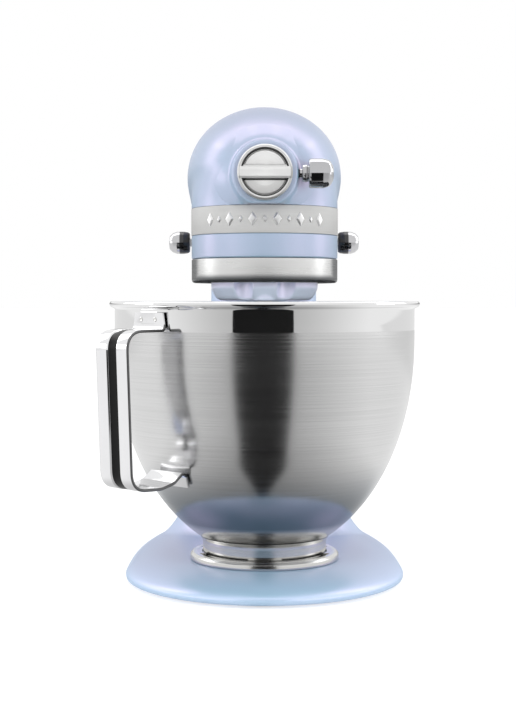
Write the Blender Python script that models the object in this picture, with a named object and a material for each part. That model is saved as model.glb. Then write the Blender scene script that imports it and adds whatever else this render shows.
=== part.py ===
"""Tilt-head stand mixer, modelled at rest with the head down and the bowl locked on its plate.

Lengths below are millimetres and MM turns them into metres. In the dimensions, Y is counted from the
bowl's axis, negative to the front; place() moves it to the middle of the footprint. Z is height.
"""

from math import atan2, copysign, cos, hypot, pi, radians, sin, sqrt, tau

import bmesh
import bpy
from mathutils import Matrix, Vector

MM = 0.001
BOWL_Y = -67.0
GAP = 0.3  # left between pieces that touch
ROUND = 32  # sides of a large turned piece
SMALL_ROUND = 12

# Head casing
HEAD_TOP, HEAD_BOTTOM, HEAD_MID_Y = 350.0, 231.0, 120.0
DOME_Z, DOME_R = 293.0, 59.0  # centre height and radius of the section at HEAD_MID_Y
NOSE_LENGTH, TAIL_LENGTH, TAIL_TUCK = 176.0, 126.0, 26.0
TAIL_Z = 287.0
FRONT_R, WAIST_HALF = 52.3, 56.6  # round front about the planetary axis, half width further back
BAND_LOW, BAND_TOP, BAND_DEPTH, BAND_THICK = 247.5, 267.0, 1.5, 1.5
CASE_SPLIT = 257.0
COVER_SPLIT_Y = 200.0
SHELL_SCALE = Vector((0.92, 0.97, 0.935))
SHELL_CENTRE = (0.0, HEAD_MID_Y, 280.0)
FLOOR = 4.0

# Attachment hub
HUB_Z, HUB_FRONT_Y, HUB_R, HUB_BORE_R = 287.0, -66.0, 22.6, 12.4
KNOB_Y = -61.0

# Column and base
COLUMN_Y, COLUMN_HALF_X, COLUMN_HALF_Y, COLUMN_POWER = 161.0, 43.5, 43.0, 3.2
BASE_HALF, BASE_FRONT, BASE_REAR, BASE_REAR_POWER = 100.0, 105.0, 222.0, 2.6
BASE_BOTTOM, EDGE_TOP, PLATEAU, PILLOW = 2.5, 6.0, 15.5, 55.0
FLARE_RISE, FLARE_POWER, FLARE_FRONT, FLARE_SIDE, FLARE_SHARE = 134.0, 0.615, 34.0, 46.0, 0.86
SEAM, DECK_UNDER = 45.0, 38.0
COLUMN_TOP, COLUMN_WALL = 230.4, 5.0
HINGE_Y, HINGE_Z, KNUCKLE_R, LUG_HALF, PIN_R = 190.0, 216.4, 14.0, 14.0, 4.0

# Bowl
BOWL_R, BOWL_TOP, BOWL_ROUND_Z, BOWL_DEPTH, BOWL_POWER = 107.5, 196.6, 175.0, 157.0, 2.1
BOWL_WALL, FOOT_Z, RIM_R, RIM_BEAD, RIM_Z = 1.2, 33.0, 111.0, 2.2, 198.9
PLATE_R, PLATE_LOW, PLATE_TOP, PLATE_FLOOR = 53.8, 15.8, 20.9, 17.3
HANDLE_ANGLE, HANDLE_HALF, STRAP = radians(-135), 16.0, 2.0

# Gear train
ORBIT = 27.0  # planetary axis to beater axis
RING_TEETH, PLANET_TEETH, RING_MODULE = 36, 12, 2.25
CENTRE_TEETH, WHEEL_PINION_TEETH, CENTRE_MODULE = 40, 10, 1.4
CROWN_TEETH, HUB_TEETH = 30, 10
CROWN_IN, CROWN_OUT = 20.0, 27.0
WORM_TEETH, WORM_STARTS, WORM_MODULE, WORM_R = 20, 2, 1.8, 8.0
MOTOR_Z = 292.0
WHEEL_X = WORM_R + WORM_MODULE * WORM_TEETH / 2
WHEEL_Y = sqrt((CENTRE_MODULE * (CENTRE_TEETH + WHEEL_PINION_TEETH) / 2) ** 2 - WHEEL_X**2)
SHAFT_R, BUSH_R, BEATER_SHAFT_R = 5.0, 8.0, 5.2
RING_SEAT_R = 48.3
CENTRE_LOW, CENTRE_HIGH = 264.0, 274.0  # heights of the centre gear and the wheel's pinion
MOTOR_FRONT, MOTOR_BACK, COMMUTATOR_R = 95.0, 145.0, 12.0
BRUSH_Y, BRUSH_CAP_R = 160.0, 8.0
GLAND_X, GLAND_Z = -26.0, 252.0
BEATER_HALF, BEATER_MIDDLE, BEATER_RISE, BEATER_BAR = 56.0, 108.0, 64.0, 9.0

# Levers
LEVER_Y, LEVER_Z, SPEED_PIVOT_X = 100.0, 247.0, -38.0
SPEED_SWING = radians(8)
KNOB_START = 59.5  # half the distance between the two side knobs' necks
SPEED_PIVOT_Y = LEVER_Y + (73.0 - SPEED_PIVOT_X) * sin(SPEED_SWING)
POST_X, POST_Y, LOCK_TRAVEL = -18.0, 132.0, 10.0

MATERIALS = {  # base colour, metallic, roughness
    "paint": ((0.47, 0.55, 0.67), 0.0, 0.25),
    "satin_metal": ((0.6, 0.6, 0.6), 1.0, 0.35),
    "chrome": ((0.8, 0.8, 0.82), 1.0, 0.06),
    "steel": ((0.55, 0.55, 0.56), 1.0, 0.25),
    "bowl_steel": ((0.6, 0.6, 0.6), 1.0, 0.25),
    "polished_steel": ((0.6, 0.6, 0.6), 1.0, 0.12),
    "carbon": ((0.04, 0.04, 0.04), 0.0, 0.6),
    "rubber": ((0.03, 0.03, 0.03), 0.0, 0.8),
    "plastic": ((0.05, 0.05, 0.055), 0.0, 0.45),
    "bronze": ((0.55, 0.38, 0.16), 1.0, 0.35),
    "copper": ((0.6, 0.3, 0.14), 1.0, 0.35),
    "aluminium": ((0.7, 0.7, 0.71), 1.0, 0.4),
    "board": ((0.05, 0.22, 0.1), 0.0, 0.5),
}


def clear_scene():
    for old in list(bpy.data.objects):
        bpy.data.objects.remove(old)


def place(x, y, z):
    return Vector((x, y + BOWL_Y, z)) * MM


def material(slot):
    made = bpy.data.materials.get(slot)
    if made is None:
        colour, metallic, roughness = MATERIALS[slot]
        made = bpy.data.materials.new(slot)
        made.use_nodes = True
        shader = made.node_tree.nodes["Principled BSDF"]
        shader.inputs["Base Color"].default_value = (*colour, 1.0)
        shader.inputs["Metallic"].default_value = metallic
        shader.inputs["Roughness"].default_value = roughness
    return made


# ---- shapes, as bmeshes in millimetres ----


def turned(profile, sides=ROUND):
    """Spins (radius, height) points about Z. Both ends on the axis make a solid, otherwise a ring."""
    shape = bmesh.new()
    points = [shape.verts.new((radius, 0.0, height)) for radius, height in profile]
    edges = [shape.edges.new(pair) for pair in zip(points, points[1:])]
    if profile[0][0] > 0 and profile[-1][0] > 0:
        edges.append(shape.edges.new((points[-1], points[0])))
    bmesh.ops.spin(
        shape, geom=points + edges, cent=(0, 0, 0), axis=(0, 0, 1), angle=tau, steps=sides, use_merge=True
    )
    bmesh.ops.remove_doubles(shape, verts=shape.verts, dist=0.0005)
    bmesh.ops.recalc_face_normals(shape, faces=shape.faces)
    return shape


def rod(radius, low, high, sides=SMALL_ROUND):
    return turned([(0, low), (radius, low), (radius, high), (0, high)], sides)


def tube(outer, inner, low, high, sides=ROUND):
    return turned([(inner, low), (outer, low), (outer, high), (inner, high)], sides)


def loft(loops, closed=False):
    """Skins loops of equally many (x, y, z) points, with flat caps or, if closed, back to the first."""
    shape = bmesh.new()
    rings = [[shape.verts.new(point) for point in loop] for loop in loops]
    pairs = list(zip(rings, rings[1:] + rings[:1])) if closed else list(zip(rings, rings[1:]))
    for lower, upper in pairs:
        for i in range(len(lower)):
            j = (i + 1) % len(lower)
            shape.faces.new((lower[i], lower[j], upper[j], upper[i]))
    if not closed:
        shape.faces.new(rings[0])
        shape.faces.new(rings[-1])
    bmesh.ops.recalc_face_normals(shape, faces=shape.faces)
    return shape


def prism(outline, low, high):
    return loft([[(x, y, z) for x, y in outline] for z in (low, high)])


def block(low, high):
    shape = bmesh.new()
    bmesh.ops.create_cube(shape, size=1.0)
    low, high = Vector(low), Vector(high)
    bmesh.ops.scale(shape, vec=high - low, verts=shape.verts)
    bmesh.ops.translate(shape, vec=(low + high) / 2, verts=shape.verts)
    return shape


def facing(shape, direction):
    """Turns a shape made along Z so that it lies along the given direction."""
    turn = Vector((0, 0, 1)).rotation_difference(Vector(direction)).to_matrix()
    bmesh.ops.rotate(shape, cent=(0, 0, 0), matrix=turn, verts=shape.verts)
    return shape


def moved(shape, x=0.0, y=0.0, z=0.0):
    bmesh.ops.translate(shape, vec=(x, y, z), verts=shape.verts)
    return shape


def spun(shape, angle):
    bmesh.ops.rotate(shape, cent=(0, 0, 0), matrix=Matrix.Rotation(angle, 3, "Z"), verts=shape.verts)
    return shape


def solid(name, shape, at=(0, 0, 0), slot="steel"):
    """A named object from a shape whose coordinates count from the point at."""
    bmesh.ops.scale(shape, vec=(MM, MM, MM), verts=shape.verts)
    mesh = bpy.data.meshes.new(name)
    shape.to_mesh(mesh)
    shape.free()
    mesh.materials.append(material(slot))
    mesh.shade_smooth()
    mesh.set_sharp_from_angle(angle=radians(32))
    made = bpy.data.objects.new(name, mesh)
    made.location = place(*at)
    bpy.context.scene.collection.objects.link(made)
    return made


def together(shapes):
    """One bmesh that holds shapes which don't touch each other."""
    whole = bmesh.new()
    for shape in shapes:
        mesh = bpy.data.meshes.new("part")
        shape.to_mesh(mesh)
        shape.free()
        whole.from_mesh(mesh)
        bpy.data.meshes.remove(mesh)
    return whole


def combine(target, operation, *shapes, at=(0, 0, 0)):
    """Adds or cuts shapes that are clear of each other, with one Boolean whose helper isn't rendered."""
    helper = solid(f"helper_{target.name}", together(shapes), at)
    helper.hide_render = True
    helper.display_type = "WIRE"
    change = target.modifiers.new(operation.lower(), "BOOLEAN")
    change.operation = operation
    change.object = helper
    change.solver = "EXACT"
    return target


def cut(target, *shapes, at=(0, 0, 0)):
    return combine(target, "DIFFERENCE", *shapes, at=at)


def join(target, *shapes, at=(0, 0, 0)):
    return combine(target, "UNION", *shapes, at=at)


def body(name, at, pieces):
    """Parents a moving body's pieces to an empty on its joint's axis."""
    axis = bpy.data.objects.new(name, None)
    axis.location = place(*at)
    bpy.context.scene.collection.objects.link(axis)
    for piece in pieces:
        piece.parent = axis
        piece.matrix_parent_inverse = Matrix.Translation(-axis.location)
    return axis


# ---- outlines ----


def power(value, exponent):
    return copysign(abs(value) ** exponent, value)


def smoothstep(value):
    value = min(max(value, 0.0), 1.0)
    return value * value * (3 - 2 * value)


def offset(outline, distance):
    """The outline moved outwards by distance; it runs anticlockwise."""
    moved_points = []
    count = len(outline)
    for i, (x, y) in enumerate(outline):
        before, after = outline[i - 1], outline[(i + 1) % count]
        along = Vector((after[0] - before[0], after[1] - before[1])).normalized()
        moved_points.append((x + along.y * distance, y - along.x * distance))
    return moved_points


def head_point(angle, z):
    """A point of the head's horizontal section; angle 0 is the front, pi the rear."""
    rise = max(z - DOME_Z, 0.0) / (HEAD_TOP - DOME_Z)
    half = DOME_R * sqrt(max(1 - rise**2, 0.0))
    nose = NOSE_LENGTH * max(1 - rise**2.2, 0.0) ** (1 / 2.2)
    if z > TAIL_Z:
        tail = TAIL_LENGTH * max(1 - ((z - TAIL_Z) / (HEAD_TOP - TAIL_Z)) ** 2.6, 0.0) ** (1 / 2.6)
    else:
        tail = TAIL_LENGTH - TAIL_TUCK * ((TAIL_Z - z) / (TAIL_Z - HEAD_BOTTOM)) ** 2
    exponent = 2 / (2 + (half / DOME_R) ** 2)
    wide, deep = sin(angle) ** exponent, power(cos(angle), exponent)
    dome_x = half * wide
    if deep < 0:
        dome_y = waist_y = HEAD_MID_Y - tail * deep
        waist_x = WAIST_HALF * wide
    else:
        dome_y = HEAD_MID_Y - nose * deep
        waist_y = HEAD_MID_Y - (HEAD_MID_Y + FRONT_R) * deep
        if waist_y < 0:
            waist_x = sqrt(max(FRONT_R**2 - waist_y**2, 0.0))
        else:
            waist_x = FRONT_R + (WAIST_HALF - FRONT_R) * smoothstep(waist_y / HEAD_MID_Y)
    blend = smoothstep((z - BAND_TOP) / (DOME_Z - BAND_TOP))
    return waist_x + (dome_x - waist_x) * blend, waist_y + (dome_y - waist_y) * blend


def head_outline(z, steps=14):
    """The whole section at height z, anticlockwise from the front."""
    half = [head_point(pi * i / steps, z) for i in range(steps + 1)]
    return half + [(-x, y) for x, y in reversed(half[1:-1])]


def at_height(outline, z):
    return [(x, y, z) for x, y in outline]


def head_solid(recessed):
    """The head's outer form, with the trim band's recess if recessed."""
    waist = head_outline(BAND_TOP)
    loops = [at_height(head_outline(HEAD_BOTTOM), HEAD_BOTTOM), at_height(head_outline(239), 239)]
    loops.append(at_height(head_outline(BAND_LOW), BAND_LOW))
    if recessed:
        loops.append(at_height(offset(head_outline(BAND_LOW), -BAND_DEPTH), BAND_LOW))
        loops.append(at_height(offset(waist, -BAND_DEPTH), BAND_TOP))
    loops.append(at_height(waist, BAND_TOP))
    heights = [275, 284] + [DOME_Z + (HEAD_TOP - DOME_Z) * sin(pi / 2 * i / 6) for i in range(6)]
    heights.append(HEAD_TOP - 0.15)
    loops += [at_height(head_outline(z), z) for z in heights]
    return loft(loops)


def head_hollow():
    """What is cut from the head's form to leave its walls."""
    shape = head_solid(False)
    bmesh.ops.translate(shape, vec=[-c for c in SHELL_CENTRE], verts=shape.verts)
    bmesh.ops.scale(shape, vec=SHELL_SCALE, verts=shape.verts)
    bmesh.ops.translate(shape, vec=SHELL_CENTRE, verts=shape.verts)
    return shape


def column_radius(angle):
    """Column's section about its own centre; angle 0 is the front."""
    wide, deep = abs(sin(angle)) / COLUMN_HALF_X, abs(cos(angle)) / COLUMN_HALF_Y
    return (wide**COLUMN_POWER + deep**COLUMN_POWER) ** (-1 / COLUMN_POWER)


def bisect(low, high, below):
    for _ in range(40):
        middle = (low + high) / 2
        low, high = (middle, high) if below(middle) else (low, middle)
    return (low + high) / 2


def base_radius(angle):
    """Distance from the column's centre to the base's outer edge."""

    def inside(radius):
        x, y = radius * sin(angle), COLUMN_Y - radius * cos(angle)
        if y < 0:
            return (x / BASE_HALF) ** 2 + (y / BASE_FRONT) ** 2 < 1
        return abs(x / BASE_HALF) ** BASE_REAR_POWER + (y / BASE_REAR) ** BASE_REAR_POWER < 1

    return bisect(0.0, 400.0, inside)


def skin_height(angle, radius):
    """Height of the base's upper skin: a rounded edge, a plateau and a flare up to the column."""
    inner, edge = column_radius(angle), base_radius(angle)
    span = edge - inner
    width = min(PILLOW, span)
    inset = min(max(edge - radius, 0.0) / width, 1.0)
    pillow = EDGE_TOP + (PLATEAU - EDGE_TOP) * sqrt(1 - (1 - inset) ** 2)
    side = FLARE_FRONT + (FLARE_SIDE - FLARE_FRONT) * abs(sin(angle)) if cos(angle) > 0 else FLARE_SIDE
    reach = min(FLARE_SHARE * span, side)
    out = min(max(radius - inner, 0.0) / reach, 1.0)
    return pillow + FLARE_RISE * (1 - out**FLARE_POWER) ** (1 / FLARE_POWER)


def skin_radius(angle, z):
    """Distance from the column's centre to the skin at height z, on the flare or the column."""
    if z >= PLATEAU + FLARE_RISE:
        return column_radius(angle)
    return bisect(column_radius(angle), base_radius(angle), lambda radius: skin_height(angle, radius) > z)


def ray(angle, radius, z):
    return (radius * sin(angle), COLUMN_Y - radius * cos(angle), z)


def circle_angles(count):
    return [tau * i / count for i in range(count)]


def base_angles(count):
    """Directions, seen from the column, of points spread evenly round the base's outline."""
    angles = []
    for turn in circle_angles(count):
        deep = power(cos(turn), 1.0 if cos(turn) > 0 else 2 / BASE_REAR_POWER)
        y = -deep * (BASE_FRONT if deep > 0 else BASE_REAR)
        x = BASE_HALF * power(sin(turn), 1.0 if cos(turn) > 0 else 2 / BASE_REAR_POWER)
        angles.append(atan2(x, COLUMN_Y - y) % tau)
    return angles


# ---- pedestal: base, column, feet, clamp plate, fasteners ----

FEET = {
    "foot_front": (0.0, -82.0),
    "foot_front_left": (-76.0, -8.0),
    "foot_front_right": (76.0, -8.0),
    "foot_rear_left": (-50.0, 168.0),
    "foot_rear_right": (50.0, 168.0),
}
CLAMP_SCREWS = [(24 * sin(a), -24 * cos(a)) for a in (pi, pi / 3, -pi / 3)]
COLUMN_BOLTS = [(x, COLUMN_Y + y) for x in (-26, 26) for y in (-22, 22)]


def make_base():
    angles = base_angles(ROUND + 8)
    seam = [skin_radius(a, SEAM - GAP) for a in angles]
    edge = [base_radius(a) for a in angles]
    loops = [[ray(a, r, SEAM - GAP) for a, r in zip(angles, seam)]]
    steps = 7
    for i in range(1, steps):
        share = (1 - cos(pi * i / steps)) / 2
        radii = [s + (e - s) * share for s, e in zip(seam, edge)]
        loops.append([ray(a, r, skin_height(a, r)) for a, r in zip(angles, radii)])
    lip = ((0.0, EDGE_TOP), (0.6, 4.0), (2.5, BASE_BOTTOM), (9.0, BASE_BOTTOM))
    for inset, z in lip:
        loops.append([ray(a, e - inset, z) for a, e in zip(angles, edge)])
    for share in (0.0, 0.25, 0.8, 0.92, 1.0):
        radii = [(e - 9.5) + (s - 5.0 - (e - 9.5)) * share for s, e in zip(seam, edge)]
        heights = [min(skin_height(a, r) - 4.5, DECK_UNDER) for a, r in zip(angles, radii)]
        if share == 1.0:
            heights = [DECK_UNDER] * len(angles)
        loops.append([ray(a, r, h) for a, r, h in zip(angles, radii, heights)])
    base = solid("base_casting", loft(loops), slot="paint")
    bosses = []
    for x, y in FEET.values():
        angle, reach = atan2(x, COLUMN_Y - y), hypot(x, COLUMN_Y - y)
        bosses.append(moved(rod(11.0, 3.4, skin_height(angle, reach + 11.0) - 1.5), x, y))
    join(base, *bosses)
    holes = [moved(rod(3.8, 2.0, 8.6, 12), x, y) for x, y in FEET.values()]
    holes += [moved(rod(2.3, 5.0, 20.0, 12), x, y) for x, y in CLAMP_SCREWS]
    holes += [moved(rod(2.9, 30.0, 50.0, 12), x, y) for x, y in COLUMN_BOLTS]
    return cut(base, *holes)


def column_outline(z, inset=0.0):
    """Column's section, kept within the knuckle's round behind the hinge."""
    rear = HINGE_Y + sqrt(KNUCKLE_R**2 - max(z - HINGE_Z, 0.0) ** 2)
    points = [ray(a, skin_radius(a, z), z) for a in circle_angles(ROUND)]
    outline = [(x, min(y, rear)) for x, y, _ in points]
    return offset(outline, -inset)


def make_column():
    heights = [SEAM, 52, 63, 80, 105, PLATEAU + FLARE_RISE, HINGE_Z]
    heights += [HINGE_Z + KNUCKLE_R * sin(pi / 2 * i / 3) for i in range(1, 4)]
    column = solid("column_casting", loft([at_height(column_outline(z), z) for z in heights]), slot="paint")
    hollow = [at_height(column_outline(z, COLUMN_WALL), z) for z in (54, 75, 110, COLUMN_TOP - 9)]
    cut(column, loft(hollow))
    knuckle = facing(rod(KNUCKLE_R - 0.6, -28.0, 28.0, 20), (1, 0, 0))
    join(column, moved(knuckle, 0, HINGE_Y, HINGE_Z))
    low, high = -LUG_HALF - 0.5, LUG_HALF + 0.5
    slot_front, slot_low = HINGE_Y - 13.5, HINGE_Z - 11.5
    pocket = block((POST_X - 5, POST_Y - 2, COLUMN_TOP - 20), (POST_X + 5, POST_Y + 15.5, COLUMN_TOP + 5))
    cut(column, block((low, slot_front, slot_low), (high, HINGE_Y + 20, COLUMN_TOP + 5)), pocket)
    pin_hole = moved(facing(rod(PIN_R + 0.25, -60.0, 60.0), (1, 0, 0)), 0, HINGE_Y, HINGE_Z)
    return cut(column, pin_hole, *[moved(rod(2.9, SEAM - 5, SEAM + 15, 12), x, y) for x, y in COLUMN_BOLTS])


def make_feet():
    profile = [(0, 0), (8.6, 0), (9.4, 0.8), (9.4, 3.0), (3.5, 3.0), (3.5, 8.0), (0, 8.0)]
    return [solid(name, turned(profile, 14), (x, y, 0), "rubber") for name, (x, y) in FEET.items()]


def make_clamp_plate():
    """Ring with four inward lips that hold the foot ring's lugs."""
    profile = [
        (9.0, PLATE_LOW),
        (PLATE_R - 0.8, PLATE_LOW),
        (PLATE_R, PLATE_LOW + 1.2),
        (PLATE_R - 0.4, PLATE_TOP - 1.2),
        (PLATE_R - 1.8, PLATE_TOP),
        (48.4, PLATE_TOP),
        (48.4, PLATE_FLOOR),
        (9.0, PLATE_FLOOR),
    ]
    plate = solid("bowl_clamp_plate", turned(profile), slot="polished_steel")
    lip = sector(45.2, 49.5, PLATE_TOP - 1.3, PLATE_TOP - 0.02, radians(32))
    join(plate, *[spun(lip.copy(), quarter * pi / 2) for quarter in range(4)])
    return cut(plate, *[moved(rod(2.3, 10.0, 25.0, 12), x, y) for x, y in CLAMP_SCREWS])


def sector(inner, outer, low, high, sweep, steps=5):
    """Part of a ring, centred on the front."""
    angles = [sweep * (i / steps - 0.5) for i in range(steps + 1)]
    outline = [(outer * sin(a), -outer * cos(a)) for a in angles]
    outline += [(inner * sin(a), -inner * cos(a)) for a in reversed(angles)]
    return prism(outline, low, high)


def make_clamp_screws():
    profile = [(0, -11.0), (2.0, -11.0), (2.0, GAP), (4.2, GAP), (4.2, 1.4), (2.6, 2.1), (0, 2.1)]
    return [
        solid(f"clamp_screw_{i}", turned(profile, 10), (x, y, PLATE_FLOOR), "steel")
        for i, (x, y) in enumerate(CLAMP_SCREWS, 1)
    ]


def make_column_bolts():
    profile = [(0, -4.3), (4.6, -4.3), (4.6, -GAP), (2.5, -GAP), (2.5, 19.0), (0, 19.0)]
    return [
        solid(f"column_bolt_{i}", turned(profile, 6), (x, y, DECK_UNDER), "steel")
        for i, (x, y) in enumerate(COLUMN_BOLTS, 1)
    ]


def make_hinge_pin():
    pin = facing(rod(PIN_R, -40.0, 40.0), (1, 0, 0))
    return solid("hinge_pin", pin, (0, HINGE_Y, HINGE_Z), "steel")


# ---- head: casings, band, drip ring, motor ----


def front_of(y, low, high):
    """A block that reaches from in front of the head back to y."""
    return block((-90, -140, low), (90, y, high))


def make_motor_housing():
    housing = solid("motor_housing", head_solid(True), slot="paint")
    combine(housing, "INTERSECT", front_of(COVER_SPLIT_Y, CASE_SPLIT + GAP, 400))
    boss = [(0, 0), (34.0, 0), (27.5, 5.0), (24.2, 11.0), (HUB_R, 18.0)]
    boss += [(HUB_R, 25.0), (HUB_R - 1.2, 26.0), (0, 26.0)]
    join(housing, moved(facing(turned(boss, 32), (0, -1, 0)), 0, HUB_FRONT_Y + 26.0, HUB_Z))
    cut(housing, sector(FRONT_R - BAND_DEPTH, 90.0, 250.0, BAND_TOP, radians(100), 16))
    cut(housing, head_hollow())
    join(housing, moved(facing(rod(17.0, 0.0, 19.0, 24), (0, -1, 0)), 0, -34.0, HUB_Z))
    bore = moved(facing(rod(HUB_BORE_R, 0, 60, 20), (0, -1, 0)), 0, -20.0, HUB_Z)
    cut(housing, bore, moved(facing(rod(BRUSH_CAP_R + GAP, -80, 80, 20), (1, 0, 0)), 0, BRUSH_Y, MOTOR_Z))
    return cut(housing, moved(facing(rod(3.6, 0, 40, 12), (1, 0, 0)), 5.0, KNOB_Y, HUB_Z))


def make_gearcase():
    case = solid("lower_gearcase", head_solid(True), slot="paint")
    combine(case, "INTERSECT", front_of(COVER_SPLIT_Y, HEAD_BOTTOM - 1, CASE_SPLIT))
    inner = offset(head_outline(BAND_LOW), -5.0)
    rear = prism(inner, HEAD_BOTTOM + FLOOR, CASE_SPLIT + 5)
    everything = rear.verts[:] + rear.edges[:] + rear.faces[:]
    bmesh.ops.bisect_plane(rear, geom=everything, plane_co=(0, 56, 0), plane_no=(0, -1, 0), clear_outer=True)
    bmesh.ops.holes_fill(rear, edges=rear.edges)
    bmesh.ops.recalc_face_normals(rear, faces=rear.faces)
    cut(case, rear, rod(RING_SEAT_R, HEAD_BOTTOM - 5, 249.5, ROUND))
    cut(case, prism(inner, 253.5, CASE_SPLIT + 5))
    cut(case, rod(BUSH_R + GAP, 240, 260))
    lug = facing(rod(9.5, -LUG_HALF, LUG_HALF, 20), (1, 0, 0))
    join(case, moved(lug, 0, HINGE_Y, HINGE_Z))
    join(case, block((-LUG_HALF, HINGE_Y - 9, HINGE_Z), (LUG_HALF, HINGE_Y + 9, HEAD_BOTTOM + 2)))
    cut(case, moved(facing(rod(PIN_R + 0.25, -20, 20), (1, 0, 0)), 0, HINGE_Y, HINGE_Z))
    join(case, moved(rod(5.0, HEAD_BOTTOM + 2, LEVER_Z - 2.5), SPEED_PIVOT_X, SPEED_PIVOT_Y))
    join(case, moved(rod(2.2, HEAD_BOTTOM + 2, LEVER_Z + 3.5, 12), SPEED_PIVOT_X, SPEED_PIVOT_Y))
    cut(case, block((30, LEVER_Y - 5, LEVER_Z - 4.5), (70, LEVER_Y + 33, LEVER_Z + 4.5)))
    cut(case, block((-70, LEVER_Y - 5, LEVER_Z - 4.5), (-40, LEVER_Y + LOCK_TRAVEL + 5, LEVER_Z + 4.5)))
    cut(case, block((POST_X - 5, POST_Y - 2, 225), (POST_X + 5, POST_Y + 16, 240)))
    return case


def make_end_cover():
    cover = solid("end_cover", head_solid(False), slot="paint")
    combine(cover, "INTERSECT", block((-90, COVER_SPLIT_Y + GAP, 200), (90, 300, 400)))
    cut(cover, head_hollow())
    cut(cover, moved(facing(rod(5.3, 0, 60, 12), (0, 1, 0)), GLAND_X, 200.0, GLAND_Z))
    cut(cover, moved(facing(rod(2.3, 0, 60, 12), (0, 1, 0)), 0, 200.0, GLAND_Z))
    return cover


def tail_y(x, z):
    """How far back the head's skin is at this x and z."""
    return max(y for px, y in head_outline(z, 60) if abs(px - x) < 3.0)


def make_end_cover_screw():
    profile = [(0, -17.0), (2.0, -17.0), (2.0, 0), (4.0, 0), (4.0, 1.6), (2.6, 2.4), (0, 2.4)]
    shape = facing(turned(profile, 12), (0, 1, 0))
    return solid("end_cover_screw", shape, (0, tail_y(0, GLAND_Z + 4) + GAP, GLAND_Z), "steel")


def make_cord_gland():
    profile = [(0, -12.0), (5.0, -12.0), (5.0, 0), (6.8, 0), (6.8, 1.8), (4.8, 2.6), (4.2, 6.0), (0, 6.0)]
    shape = facing(turned(profile, SMALL_ROUND), (0, 1, 0))
    return solid("cord_gland", shape, (GLAND_X, tail_y(GLAND_X + 7, GLAND_Z + 7) + GAP, GLAND_Z), "rubber")


def make_trim_band():
    """Strip in the recess, round the front and along both sides, notched for the two levers."""
    end = bisect(pi / 2, pi, lambda angle: head_point(angle, BAND_TOP)[1] < COVER_SPLIT_Y - 1)
    half = [head_point(end * i / 28, BAND_TOP) for i in range(29)]
    outline = [(-x, y) for x, y in reversed(half[1:])] + half
    closed = offset(outline, BAND_THICK - BAND_DEPTH + 0.25)
    inside = offset(outline, GAP - BAND_DEPTH)
    strip = closed[1:-1] + inside[-2:0:-1]
    band = solid("trim_band", prism(strip, BAND_LOW + 0.2, BAND_TOP - 0.2), slot="satin_metal")
    for side in (-1, 1):
        length = 33 if side > 0 else LOCK_TRAVEL + 5
        low, high = (30, 70) if side > 0 else (-70, -30)
        cut(band, block((low, LEVER_Y - 5, LEVER_Z - 5), (high, LEVER_Y + length, LEVER_Z + 4.5)))
    return band


def make_drip_ring():
    low, high, round_off = 214.0, HEAD_BOTTOM - GAP, 5.0
    turns = [pi / 8 * i for i in range(5)]
    edge = [(FRONT_R - round_off * (1 - sin(a)), low + round_off * (1 - cos(a))) for a in turns]
    profile = [(46.6, low), *edge, (FRONT_R, high), (46.6, high)]
    return solid("drip_ring", turned(profile), slot="satin_metal")


def gear_outline(teeth, module, phase=0.0, inward=False, narrow=0.0):
    """Tooth flanks as straight lines; phase is where one tooth's middle lies, as an angle from +X."""
    pitch = module * teeth / 2
    tip, root = pitch + 0.75 * module, pitch - 1.15 * module
    if inward:
        tip, root = pitch - 0.75 * module, pitch + 1.15 * module
    step = tau / teeth
    tip_half, root_half = step * (0.10 - narrow), step * (0.27 - narrow)
    outline = []
    for tooth in range(teeth):
        middle = phase + tooth * step
        for radius, shift in ((root, -root_half), (tip, -tip_half), (tip, tip_half), (root, root_half)):
            outline.append((radius * cos(middle + shift), radius * sin(middle + shift)))
    return outline


FRONT = -pi / 2  # the direction of the front, as an angle from +X


def make_ring_gear():
    """Fixed internal gear; a gap faces the front, where the planet's tooth sits."""
    gap_in_front = FRONT + pi / RING_TEETH
    inner = gear_outline(RING_TEETH, RING_MODULE, gap_in_front, inward=True)
    blank = solid("internal_ring_gear", rod(RING_SEAT_R - GAP, 236.0, 246.5, ROUND), slot="steel")
    return cut(blank, prism(inner, 230, 250))


def make_bush():
    return solid("centre_shaft_bush", tube(BUSH_R, SHAFT_R + 0.3, 249.0, 258.5, SMALL_ROUND), slot="bronze")


def make_hub_bearing():
    shape = facing(tube(HUB_BORE_R - GAP, 5.6, 0, 9.0, 24), (0, -1, 0))
    return solid("hub_bearing", shape, (0, -36.0, HUB_Z), "bronze")


def make_stator():
    ring = facing(tube(36.0, 22.0, 0, MOTOR_BACK - MOTOR_FRONT, 32), (0, 1, 0))
    return solid("field_stator", ring, (0, MOTOR_FRONT, MOTOR_Z), "copper")


def make_motor_bearing(name, y):
    return solid(name, facing(tube(11.0, 4.4, 0, 8.0, SMALL_ROUND), (0, 1, 0)), (0, y, MOTOR_Z), "bronze")


def make_brushes():
    pieces = []
    for side, word in ((-1, "left"), (1, "right")):
        cap = [(0, 0), (BRUSH_CAP_R, 0), (BRUSH_CAP_R, 8.0), (BRUSH_CAP_R - 1.5, 9.0), (0, 9.0)]
        shape = facing(turned(cap, 20), (side, 0, 0))
        skin = head_half_width(BRUSH_Y, MOTOR_Z)
        pieces.append(solid(f"brush_cap_{word}", shape, (side * (skin - 8.4), BRUSH_Y, MOTOR_Z), "plastic"))
        half = (skin - 8.8 - COMMUTATOR_R) / 2
        brush = block((-half, -3, -4), (half - 0.5, 3, 4))
        if side < 0:
            brush = spun(brush, pi)
        middle = side * (skin - 8.4 + COMMUTATOR_R) / 2
        pieces.append(solid(f"brush_{word}", brush, (middle, BRUSH_Y, MOTOR_Z), "carbon"))
    return pieces


def head_half_width(y, z):
    """Half the head's width at this y and z."""
    return max(abs(x) for x, py in head_outline(z, 120) if abs(py - y) < 6.0)


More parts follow.
